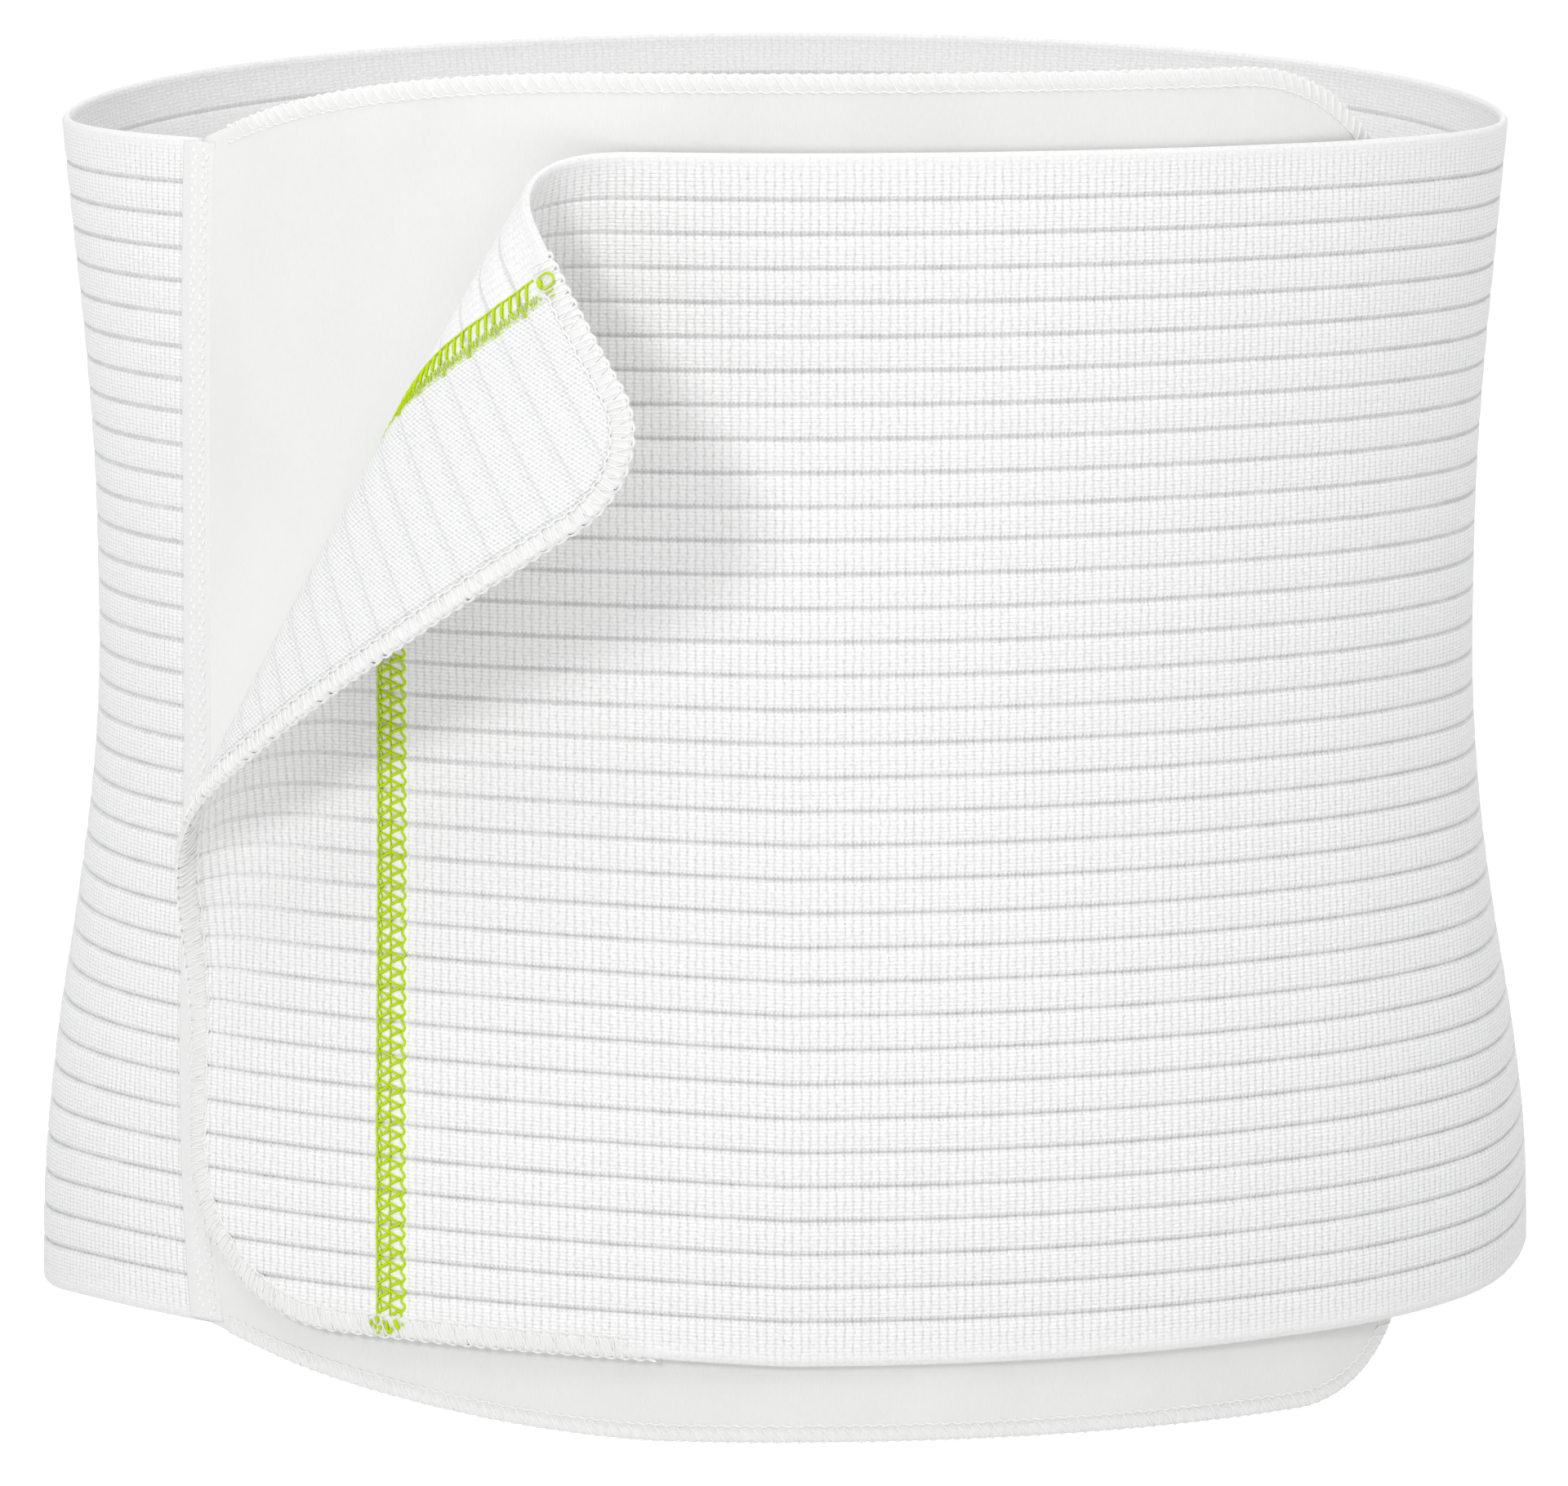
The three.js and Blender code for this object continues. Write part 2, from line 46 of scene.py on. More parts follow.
BAND_HEIGHT = 250.0
CLOTH = 1.8
WAIST = np.array([163.4, 164.4, 163.6, 160.6, 156.3, 152.7, 150.6, 150.3, 150.8, 152.4, 154.7, 156.8, 158.2])
WAIST_STEP = 25.0
DEPTH = 0.72
MEAN_HALF_WIDTH = 156.0
BACK_RISE = 12.0
BACK_RISE_BLEND = 0.2
LEFT_HANG = -7.0
LEFT_HANG_SPREAD = 0.35
RIGHT_HANG = 2.2
RIGHT_HANG_SPREAD = 0.5
HANG_REACH = 75.0
ANGLES = np.linspace(0.0, np.pi, 2881)
SPEED = np.hypot(np.cos(ANGLES), DEPTH * np.sin(ANGLES))
ARCS = np.concatenate([[0.0], np.cumsum((SPEED[1:] + SPEED[:-1]) / 2 * np.diff(ANGLES))])
HALF_LOOP = ARCS[-1] * MEAN_HALF_WIDTH


def ramp(value, start, end):
    """Share of the way from a start to an end: 0 before it, 1 past it, straight between."""
    return np.clip((value - start) / (end - start), 0.0, 1.0)


def ease(share):
    """A share from 0 to 1 made smooth at both ends: three times its square less twice its cube."""
    return share * share * (3 - 2 * share)


def half_width(height):
    """Half width of the waist: a Catmull-Rom curve through sections 25 mm apart, the first at -25 mm."""
    last = len(WAIST) - 1
    at = np.clip((height + WAIST_STEP) / WAIST_STEP, 0.0, last - 1e-9)
    k = at.astype(int)
    t = at - k
    before, low, high, after = (WAIST[np.clip(k + n, 0, last)] for n in (-1, 0, 1, 2))
    start, end, rise = (high - before) / 2, (after - low) / 2, high - low
    return low + t * (start + t * (3 * rise - 2 * start - end + t * (start + end - 2 * rise)))


def on_torso(across, height, lift):
    """A point over the waist, which is an ellipse at every height: across is the arc from the front
    centre, lift the distance off the skin. The rim rises towards the back, and at the bottom it hangs
    lower at the left side than at the right."""
    across, height, lift = np.broadcast_arrays(across, height, lift)
    side = np.where(across > HALF_LOOP, across - 2 * HALF_LOOP, across)
    a = half_width(height) - CLOTH
    stretch = 1 + (a / MEAN_HALF_WIDTH - 1) * (side / HALF_LOOP) ** 2
    arc = side * stretch / a
    angle = np.sign(arc) * np.interp(np.abs(arc), ARCS, ANGLES)
    sin, cos = np.sin(angle), np.cos(angle)
    length = np.hypot(DEPTH * sin, cos)
    hang = np.where(
        sin < 0,
        LEFT_HANG * np.exp(-(cos / LEFT_HANG_SPREAD) ** 2),
        RIGHT_HANG * np.exp(-(cos / RIGHT_HANG_SPREAD) ** 2))
    rise = BACK_RISE * (np.hypot(cos, BACK_RISE_BLEND) - cos) / 2
    z = height - BAND_HEIGHT / 2 + rise + hang * (1 - ease(ramp(height, 0.0, HANG_REACH)))
    return np.stack([a * sin + lift * DEPTH * sin / length, -DEPTH * a * cos - lift * cos / length, z], -1)


def shell(outer, inner):
    """Points and quads of a closed wall of cloth: the outer grid, the inner grid turned over, and a
    strip round the rim that joins them."""
    columns, rows = outer.shape[:2]
    top = np.arange(columns * rows).reshape(columns, rows)
    under = top + columns * rows
    cell = lambda g: (g[:-1, :-1], g[1:, :-1], g[1:, 1:], g[:-1, 1:])
    ring = lambda g: np.concatenate([g[:, 0], g[-1, 1:], g[-2::-1, -1], g[0, -2:0:-1]])
    over, below = ring(top), ring(under)
    quads = [
        np.stack(cell(top), -1).reshape(-1, 4),
        np.stack(cell(under)[::-1], -1).reshape(-1, 4),
        np.stack([over, below, np.roll(below, -1), np.roll(over, -1)], -1),
    ]
    return np.concatenate([outer.reshape(-1, 3), inner.reshape(-1, 3)]), np.concatenate(quads)


def put(name, points, quads, uv, material, **marks):
    """One smooth object at the origin from points in millimetres, with a UV map along the cloth or
    thread in millimetres, and one number per point for each mark."""
    mesh = bpy.data.meshes.new(name)
    mesh.from_pydata(points * MILLIMETRE, [], quads)
    mesh.uv_layers.new(name="cloth").data.foreach_set("uv", uv[quads.ravel()].astype(np.float32).ravel())
    for mark, values in marks.items():
        layer = mesh.attributes.new(mark, "FLOAT", "POINT")
        layer.data.foreach_set("value", values.astype(np.float32).ravel())
    mesh.polygons.foreach_set("use_smooth", np.ones(len(quads), bool))
    mesh.materials.append(material)
    mesh.update()
    made = bpy.data.objects.new(name, mesh)
    bpy.context.scene.collection.objects.link(made)
    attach(made, "root")
    return made


def add(material, kind, settings=None, **sockets):
    """One node of a material, with its settings and its sockets: numbers, or outputs of other nodes.
    Sockets without a name of their own are called a, b and c."""
    tree = material.node_tree
    made = tree.nodes.new(kind)
    for key, value in (settings or {}).items():
        setattr(made, key, value)
    for key, value in sockets.items():
        socket = made.inputs["abc".index(key)] if len(key) == 1 else made.inputs[key.replace("_", " ")]
        if isinstance(value, bpy.types.NodeSocket):
            tree.links.new(value, socket)
        else:
            socket.default_value = value
    return made


def fabric(name, roughness, sheen):
    """A matt textile finish with a soft sheen, and its shader node."""
    material = bpy.data.materials.new(name)
    material.use_nodes = True
    shader = material.node_tree.nodes["Principled BSDF"]
    shader.inputs["Roughness"].default_value = roughness
    shader.inputs["Specular IOR Level"].default_value = 0.18
    shader.inputs["Sheen Weight"].default_value = sheen
    shader.inputs["Sheen Roughness"].default_value = 0.6
    return material, shader


def math_node(material, operation, a, b=0.0, c=0.0):
    """The output of one sum on two or three numbers."""
    return add(material, "ShaderNodeMath", {"operation": operation}, a=a, b=b, c=c).outputs[0]


def clamped(material, value):
    """A number held between 0 and 1."""
    return math_node(material, "MAXIMUM", math_node(material, "MINIMUM", value, 1.0), 0.0)


def cloth_place(material):
    """The UV map along the cloth or thread, in millimetres."""
    return add(material, "ShaderNodeUVMap", {"uv_map": "cloth"}).outputs[0]


def mesh_mark(material, name):
    """The number that the mesh carries at every point under a name."""
    return add(material, "ShaderNodeAttribute", {"attribute_name": name}).outputs["Fac"]


def tint(material, shader, share, plain, other):
    """Colours the shader between two colours, by a share from 0 to 1."""
    mix = add(material, "ShaderNodeMix", {"data_type": "RGBA"})
    mix.inputs[6].default_value = (*plain, 1)
    mix.inputs[7].default_value = (*other, 1)
    material.node_tree.links.new(share, mix.inputs[0])
    material.node_tree.links.new(mix.outputs[2], shader.inputs["Base Color"])


def relief(material, shader, height, depth):
    """Bumps the shader by a height from 0 to 1, of a depth in millimetres."""
    bump = add(material, "ShaderNodeBump", Strength=1.0, Distance=depth * MILLIMETRE, Height=height)
    material.node_tree.links.new(bump.outputs[0], shader.inputs["Normal"])


velour, velour_shader = fabric("brushed velour", roughness=0.95, sheen=0.25)
nap_place = cloth_place(velour)
nap_run = add(velour, "ShaderNodeMapping", Vector=nap_place, Scale=(2.6, 0.5, 1.0)).outputs[0]
nap = add(velour, "ShaderNodeTexNoise", Vector=nap_run, Scale=1.0, Detail=4.0, Roughness=0.65).outputs[0]
cloud_run = add(velour, "ShaderNodeMapping", Vector=nap_place, Scale=(0.05, 0.03, 1.0)).outputs[0]
cloud = add(velour, "ShaderNodeTexNoise", Vector=cloud_run, Scale=1.0, Detail=2.0).outputs[0]
# lift carries painted light and shade: lighter beside the roll line, darker above the flap. brushed adds it
# to the nap's own random tone.
lift = mesh_mark(velour, "lift")
brushed = math_node(velour, "MULTIPLY_ADD", cloud, 0.5, math_node(velour, "MULTIPLY_ADD", nap, 0.5, lift))
tint(velour, velour_shader, brushed, (0.715, 0.715, 0.71), (0.836, 0.836, 0.829))
relief(velour, velour_shader, nap, 0.12)

PANEL_SEAM_AT = -134.0
PANEL_RIGHT = 141.0
PANEL_CORNER_TOP = 44.0
PANEL_CORNER_BOTTOM = 28.0
PANEL_RISE = 15.6
PANEL_RISE_RUN = 105.0
PANEL_FALL = 16.6
PANEL_FALL_RUN = 110.0
BOW_DEPTH = 6.4
BOW_LEAN = 0.55
BOW_SHIFT = 1.9
BOW_REACH = 22.0


def round_off(across, radius):
    """How far the panel's rounded corner lies in from its straight edge: a quarter circle."""
    past = np.clip(across - (PANEL_RIGHT - radius), 0.0, radius)
    return radius - np.sqrt(radius ** 2 - past ** 2)


def panel_top(across):
    """Upper edge of the panel: level with the band at the seam, with a rise that levels out as a power
    of the way left to go, and rounded at the end."""
    part = ramp(across, PANEL_SEAM_AT, PANEL_SEAM_AT + PANEL_RISE_RUN)
    return BAND_HEIGHT + PANEL_RISE * (1 - (1 - part) ** 2.5) - round_off(across, PANEL_CORNER_TOP)


def panel_bottom(across):
    """Lower edge of the panel: level with the band at the seam, with a fall that levels out in the same
    way, and rounded at the end."""
    part = ramp(across, PANEL_SEAM_AT, PANEL_SEAM_AT + PANEL_FALL_RUN)
    return round_off(across, PANEL_CORNER_BOTTOM) - PANEL_FALL * (1 - (1 - part) ** 1.6)


def seam_bow(across, height):
    """Sideways bow of the sewn edge: a parabola over the height, dying away within the cloth."""
    u = np.clip((height - BAND_HEIGHT / 2) / (BAND_HEIGHT / 2), -1.0, 1.0)
    bow = BOW_DEPTH * u * u - BOW_LEAN * u - BOW_SHIFT
    return bow * np.exp(-((across - PANEL_SEAM_AT) / BOW_REACH) ** 2)


def on_panel(across, height, offset):
    """A point of the panel's cloth, offset outwards from the middle of its wall."""
    return on_torso(across + seam_bow(across, height), height, CLOTH / 2 + offset)


swing = np.sin(np.linspace(0.0, np.pi / 2, 22)[1:])
panel_across = np.concatenate([
    np.linspace(PANEL_SEAM_AT + 0.2, PANEL_RIGHT - PANEL_CORNER_TOP, 100),
    PANEL_RIGHT - PANEL_CORNER_TOP * (1 - swing),
])[:, None]
edge_share = np.array([0.0, 0.0015, 0.004, 0.009, 0.016, 0.024])
panel_share = np.concatenate([edge_share, np.linspace(0.034, 0.966, 70), 1 - edge_share[::-1]])[None]
panel_height = panel_bottom(panel_across) * (1 - panel_share) + panel_top(panel_across) * panel_share
to_edge = np.minimum(panel_share, 1 - panel_share) * BAND_HEIGHT
edge_round = np.sqrt(np.clip(to_edge / 0.9, 0.12, 1.0))
edge_taper = 0.72 + 0.28 * ramp(to_edge, 0.0, 7.0)
panel_half = CLOTH / 2 * edge_round * edge_taper
panel_points, panel_quads = shell(
    on_panel(panel_across, panel_height, panel_half), on_panel(panel_across, panel_height, -panel_half))
panel_uv = np.stack(np.broadcast_arrays(panel_across, panel_height), -1).reshape(-1, 2)

# Painted light and shade on the velour: in a slanted band beside the line where the flap rolls off it is
# painted lighter, more so lower down.
# Above the flap it is painted darker, less so towards the free end.
nap_side = (panel_across + 27.5) * 0.886 + (BAND_HEIGHT - panel_height) * 0.463 + 15.0
nap_band = np.exp(-(np.minimum(nap_side, 0.0) / 24.0) ** 2 - (np.maximum(nap_side, 0.0) / 30.0) ** 2)
nap_stand = 0.38 + 0.4 * ramp(panel_height, 220.0, 160.0)
nap_lean = 0.33 * ramp(panel_across, -80.0, -30.0) - 0.0046 * np.maximum(panel_across - 15.0, 0.0)
nap_lift = nap_stand * nap_band - nap_lean * ramp(panel_height, 200.0, 240.0)
# The painted light and shade goes to the velour's colour under the mark named lift.
velour_panel = put("velour_panel_cloth", panel_points, panel_quads, np.tile(panel_uv, (2, 1)), velour,
                   lift=np.tile(nap_lift.ravel(), 2))
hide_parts("velour_panel")

# Panel overlock: white thread wound over the panel's raw edge by an overlock machine, slanted on the
# face, with a chain of stitches where the needle goes through, 3.4 mm in from the edge.
PANEL_STITCH = 2.5
PANEL_BINDING = 3.2
NEEDLE_LINE = 3.4
DRAW_IN = 9.0


def plied(material):
    """Light and dark of a plied thread, from 0 to 1, the dark being painted shade in the valleys between the
    plies: the size of a sine that winds round the thread as it runs."""
    split = add(material, "ShaderNodeSeparateXYZ", Vector=cloth_place(material))
    turn = math_node(material, "MULTIPLY_ADD", split.outputs[1], 0.9, split.outputs[0])
    wave = math_node(material, "SINE", math_node(material, "MULTIPLY", turn, 2 * math.pi))
    return math_node(material, "ABSOLUTE", wave)


thread_white, white_shader = fabric("white overlock thread", roughness=0.75, sheen=0.2)
ply = plied(thread_white)
# The dark turns of the ply are painted shade.
tint(thread_white, white_shader, ply, (0.80, 0.80, 0.795), (0.93, 0.93, 0.925))
relief(thread_white, white_shader, ply, 0.05)


def tubes(rings, length):
    """Points, quads and UV of closed tubes from their rings, (count, steps, sides, 3), with an even
    number of sides. The ends are closed flat."""
    count, steps, sides = rings.shape[:3]
    at = np.arange(count * steps * sides).reshape(count, steps, sides)
    turn = np.roll(at, -1, axis=2)
    walls = np.stack([at[:, :-1], at[:, 1:], turn[:, 1:], turn[:, :-1]], -1).reshape(-1, 4)
    ends = (at[:, 0], at[:, -1, ::-1])
    caps = [end[:, [0, k, k + 1, k + 2]] for end in ends for k in range(1, sides - 2, 2)]
    uv = np.stack(np.broadcast_arrays(np.arange(sides) / sides, length[..., None]), -1)
    return rings.reshape(-1, 3), np.concatenate([walls, *caps]), uv.reshape(-1, 2)


def thread(path, up, radius, sides=6):
    """Round threads: a circle carried along every path. Paths are (..., steps, 3), with a direction up
    at every point."""
    path = path.reshape(-1, *path.shape[-2:])
    up = np.broadcast_to(up, path.shape)
    count, steps = path.shape[:2]
    unit = lambda v: v / np.maximum(np.linalg.norm(v, axis=-1, keepdims=True), 1e-9)
    run = unit(np.gradient(path, axis=1))
    side = unit(np.cross(run, up))
    rise = np.cross(side, run)
    angle = np.arange(sides) * 2 * np.pi / sides
    reach = np.broadcast_to(radius, (count, steps))[..., None, None]
    ring = np.cos(angle)[:, None] * side[:, :, None] + np.sin(angle)[:, None] * rise[:, :, None]
    length = np.cumsum(np.linalg.norm(np.diff(path, axis=1, prepend=path[:, :1]), axis=-1), axis=1)
    return tubes(path[:, :, None] + reach * ring, length)


def together(*threads):
    """Several sets of threads as one set of points, quads and UV."""
    starts = np.cumsum([0] + [len(points) for points, _, _ in threads[:-1]])
    return (
        np.concatenate([points for points, _, _ in threads]),
        np.concatenate([quads + start for (_, quads, _), start in zip(threads, starts)]),
        np.concatenate([uv for _, _, uv in threads]),
    )


def edge_line(corners):
    """Length along an edge, its points and its inward direction, from dense points of the edge that
    run with the cloth on their left."""
    length = np.concatenate([[0.0], np.cumsum(np.linalg.norm(np.diff(corners, axis=0), axis=1))])
    even = np.arange(0.0, length[-1], 0.25)
    line = np.stack([np.interp(even, length, corners[:, k]) for k in (0, 1)], -1)
    run = np.gradient(line, axis=0)
    run /= np.linalg.norm(run, axis=1, keepdims=True)
    return even, line, np.stack([-run[:, 1], run[:, 0]], -1)


def at_edge(edge, place, along, inset, offset):
    """Points set in from an edge and offset from the cloth's middle, with the outward direction."""
    even, line, inward = edge
    run = [np.interp(along, even, line[:, k]) for k in (0, 1)]
    spot = [run[k] + inset * np.interp(along, even, inward[:, k]) for k in (0, 1)]
    point = place(*spot, offset)
    up = place(*spot, offset + 0.3) - point
    return point, up / np.linalg.norm(up, axis=-1, keepdims=True)


def overlock(edge, place, start, end, pitch, slant, width, half_wall, radius, past, seed):
    """Thread wound round an edge: an oblong turn per stitch, from the needle line over the face, round
    past the edge and back behind, with the face's part slanted. Each stitch differs a little, and the
    last few are drawn in."""
    turns = int((end - start) / pitch)
    steps = 16
    vary = np.random.default_rng(seed).normal(0.0, 1.0, (3, turns + 1))
    turn = np.arange(turns * steps + 1) / steps
    phase = 2 * np.pi * turn
    sway = lambda k, size: size * np.interp(turn, np.arange(turns + 1), vary[k])
    lean = slant * (1 - np.cos(phase)) / 2 + sway(0, 0.12 * pitch)
    inset = (width + past + sway(1, 0.28)) * (1 + np.cos(phase)) / 2 - past
    height = np.sign(np.sin(phase)) * np.abs(np.sin(phase)) ** 0.35
    last = np.clip((end - start - pitch * turn) / DRAW_IN, 0.3, 1.0)
    offset = (half_wall + np.abs(sway(2, 0.05))) * height * (0.72 + 0.28 * last)
    point, up = at_edge(edge, place, start + pitch * turn + lean, inset, offset)
    facing = np.where((height < 0)[:, None], -up, up)
    return thread(point[None], facing[None], radius * last[None])


def welt(edge, place, start, end, pitch, width, half_wall, past):
    """The padded edge under the stitches: an oblong ring round the cloth's edge, carried along it and
    swelling once per stitch."""
    along = np.arange(start, end, pitch / 6)[:, None]
    angle = -np.linspace(0.0, 2 * np.pi, 14, endpoint=False)
    swell = 0.5 + 0.5 * np.cos(2 * np.pi * along / pitch)
    inset = (width + past) * (1 + np.cos(angle)) / 2 - past - 0.14 * swell * (1 - np.cos(angle))
    last = np.clip((end - along) / DRAW_IN, 0.3, 1.0)
    bulge = (half_wall + 0.08 * swell) * last ** 0.4
    offset = bulge * np.sign(np.sin(angle)) * np.abs(np.sin(angle)) ** 0.45
    rings, _ = at_edge(edge, place, along + 0 * angle, inset, offset)
    return tubes(rings[None], along[None, :, 0])


def chain(edge, place, start, end, pitch, inset, offset, radius):
    """A row of stitches beside an edge: a thread that swells in the middle of every stitch and sinks
    into the cloth between stitches."""
    along = np.arange(start, end, pitch / 8)
    swell = np.abs(np.sin(np.pi * along / pitch))
    wander = 0.16 * np.sin(2 * np.pi * along / pitch + 0.6)
    point, up = at_edge(edge, place, along, inset + wander, offset - 0.16 + 0.2 * swell)
    return thread(point[None], up[None], (radius * (0.6 + 0.4 * swell))[None])


edge_across = np.concatenate([
    np.linspace(PANEL_SEAM_AT + 4.5, PANEL_RIGHT - PANEL_CORNER_TOP, 400),
    PANEL_RIGHT - PANEL_CORNER_TOP * (1 - np.sin(np.linspace(0, np.pi / 2, 200)[1:])),
])
panel_side = np.linspace(0, 1, 200)[1:-1, None]
top_line = np.stack([edge_across, panel_top(edge_across)], -1)
bottom_line = np.stack([edge_across, panel_bottom(edge_across)], -1)
panel_edge = edge_line(np.concatenate([
    bottom_line, bottom_line[-1] * (1 - panel_side) + top_line[-1] * panel_side, top_line[::-1]]))
panel_run = (panel_edge, on_panel, 1.0, panel_edge[0][-1] - 3.0, PANEL_STITCH)
padding, padding_shader = fabric("overlocked edge", roughness=0.95, sheen=0.1)
padding_place = cloth_place(padding)
padding_fuzz = add(padding, "ShaderNodeTexNoise", Vector=padding_place, Scale=2.5, Detail=3.0).outputs[0]
tint(padding, padding_shader, padding_fuzz, (0.74, 0.74, 0.74), (0.87, 0.87, 0.865))
relief(padding, padding_shader, padding_fuzz, 0.15)
panel_padding = put("panel_overlock_padding", *welt(
    *panel_run, width=PANEL_BINDING, half_wall=0.7, past=0.05), padding)
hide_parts("panel_overlock")
panel_overlock = put("panel_overlock_thread", *together(
    overlock(*panel_run, slant=1.4, width=PANEL_BINDING, half_wall=0.76, radius=0.22, past=0.05, seed=3),
    chain(*panel_run, inset=NEEDLE_LINE, offset=CLOTH / 2, radius=0.24),
    chain(*panel_run, inset=NEEDLE_LINE, offset=-CLOTH / 2, radius=0.24),
    chain(*panel_run, inset=0.0, offset=0.1, radius=0.36),
), thread_white)
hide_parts("panel_overlock")

# Elastic wrap: one broad band of ribbed knit elastic, 1.8 mm thick, 33 ribs between fine grooves. From
# the seam it goes once round the waist and over the front as the flap, whose corner is peeled open.
RIBS = 33
RIB_BORDER = 9.5
RIB_PITCH = 7.0
WALE_PITCH = 1.76
COURSE_PITCH = 0.78
FLAP_END = -130.7
FLAP_CORNER_TOP = 21.0
FLAP_CORNER_BOTTOM = 36.0
PEEL_TOP = 103.2
PEEL_LINE = math.radians(27.6)
PEEL_RADIUS = 14.6
PEEL_TURN = math.radians(145.0)
PEEL_REACH = 118.0
FRONT_REACH = 330.0
FLAP_RISE = 3.8
FLAP_RISE_RUN = 132.0
LIME_MIDDLE = 49.2
LIME_HALF_WIDTH = 2.6
LIFT_ALONG = np.array([0.0, 55.0, 112.0, 150.0, 235.0, 258.0, 288.0, 335.0])
LIFT = np.array([4.9, 4.9, 4.2, 3.5, 3.5, 4.3, 4.3, 0.9])
BAND_LENGTH = 2 * HALF_LOOP + PANEL_SEAM_AT - 0.2 - FLAP_END


def rest_lift(along):
    """Height of the band's middle over the skin: over panel and patch in front, then on the body."""
    k = np.clip(np.searchsorted(LIFT_ALONG, along) - 1, 0, len(LIFT) - 2)
    return LIFT[k] + (LIFT[k + 1] - LIFT[k]) * ease(ramp(along, LIFT_ALONG[k], LIFT_ALONG[k + 1]))


def flap_rise(along, height):
    """Rise of the flap towards its end, as it was pulled on: it falls off with the square of the distance
    from the free end, and fades over the upper part of the band."""
    rise = FLAP_RISE * np.clip(1 - (along / FLAP_RISE_RUN) ** 2, 0.0, 1.0)
    return rise * (1 - 0.9 * ease(ramp(height, 60.0, 200.0)))


def past_peel(along, height):
    """Distance of a place of the flap past the slanted line at which it rolls off the body."""
    return (height - BAND_HEIGHT) * math.sin(PEEL_LINE) - (along - PEEL_TOP) * math.cos(PEEL_LINE)


def band_middle(along, height):
    """Middle of the band's cloth. Past a slanted line the cloth rolls off the body round a constant
    radius, then runs straight: the distance past the line is wound round the roll."""
    along, height = np.broadcast_arrays(along, height)
    height = height + flap_rise(along, height)
    sin, cos = math.sin(PEEL_LINE), math.cos(PEEL_LINE)
    past = past_peel(along, height)
    run = (height - BAND_HEIGHT) * cos + (along - PEEL_TOP) * sin
    roll = np.clip(past / PEEL_RADIUS, 0.0, PEEL_TURN)
    rest = np.maximum(past - PEEL_TURN * PEEL_RADIUS, 0.0)
    across = PEEL_RADIUS * np.sin(roll) + rest * np.cos(roll)
    off = PEEL_RADIUS * (1 - np.cos(roll)) + rest * np.sin(roll)
    lies = np.where(past > 0, PEEL_TOP + run * sin - across * cos, along)
    stands = np.where(past > 0, BAND_HEIGHT + run * cos + across * sin, height)
    side = FLAP_END + lies
    side = np.where(lies > 2 * HALF_LOOP / 3, side + seam_bow(side - 2 * HALF_LOOP, stands), side)
    return on_torso(side, stands, rest_lift(lies) + off)


def on_band(along, height, offset):
    """A point of the band's cloth, offset outwards along the normal of its middle surface."""
    d = 0.05
    u = band_middle(along + d, height) - band_middle(along - d, height)
    v = band_middle(along, height + d) - band_middle(along, height - d)
    normal = np.cross(u, v)
    normal /= np.linalg.norm(normal, axis=-1, keepdims=True)
    return band_middle(along, height) + np.asarray(offset)[..., None] * normal


def flap_end(height, inset=0.0):
    """Place along the band of its rounded free end at a height, or of a line set in from it."""
    low = np.maximum(0.0, FLAP_CORNER_BOTTOM - height)
    high = np.maximum(0.0, FLAP_CORNER_TOP - (BAND_HEIGHT - height))
    rounded = lambda r, past: r - np.sqrt(np.maximum(0.0, (r - inset) ** 2 - past ** 2))
    return np.maximum(rounded(FLAP_CORNER_BOTTOM, low), rounded(FLAP_CORNER_TOP, high))


def to_groove(height):
    """Distance of a height from the nearest groove between ribs."""
    inside = np.clip(height, RIB_BORDER - 3.4, BAND_HEIGHT - RIB_BORDER + 3.4)
    return np.abs((inside - RIB_BORDER + RIB_PITCH / 2) % RIB_PITCH - RIB_PITCH / 2)


rib_rows = np.array([0.0, 0.22, 0.5, 1.1, 3.5, 5.9, 6.5, 6.78])
border_rows = np.array([0.0, 0.3, 0.9, 1.9, 2.9, 5.5, 8.4, 9.0, 9.28])
band_rows = np.concatenate([
    border_rows,
    (RIB_BORDER + RIB_PITCH * np.arange(RIBS)[:, None] + rib_rows).ravel(),
    [BAND_HEIGHT - RIB_BORDER],
    BAND_HEIGHT - border_rows[::-1],
])[None]
flap_share = np.concatenate([[0.0, 0.003, 0.009], np.linspace(0.022, 1.0, 66)])[:, None]
round_along = np.concatenate([
    np.linspace(PEEL_REACH, FRONT_REACH, 32)[1:], np.linspace(FRONT_REACH, BAND_LENGTH, 68)[1:]])[:, None]
band_along = np.concatenate([
    flap_end(band_rows) * (1 - flap_share) + PEEL_REACH * flap_share,
    np.broadcast_to(round_along, (len(round_along), band_rows.shape[1])),
])
band_height = np.broadcast_to(band_rows, band_along.shape)
groove = np.exp(-(to_groove(band_height) / 0.3) ** 2)
hem = np.minimum(band_height, BAND_HEIGHT - band_height)
crown = 0.1 * (to_groove(band_height) / 3.5) ** 0.5
selvedge = 0.05 * np.exp(-((hem - 1.1) / 0.9) ** 2)
thin = np.sqrt(np.clip(np.minimum(hem, band_along - flap_end(band_height) + 0.02) / 0.9, 0.1, 1.0))
face = (CLOTH / 2 - 0.08 + crown + selvedge - 0.55 * groove) * thin
back = (CLOTH / 2 - 0.06 + 0.5 * crown + selvedge - 0.34 * groove) * thin
band_points, band_quads = shell(
    on_band(band_along, band_height, face), on_band(band_along, band_height, -back))
band_uv = np.tile(np.stack([band_along, band_height], -1).reshape(-1, 2), (2, 1))

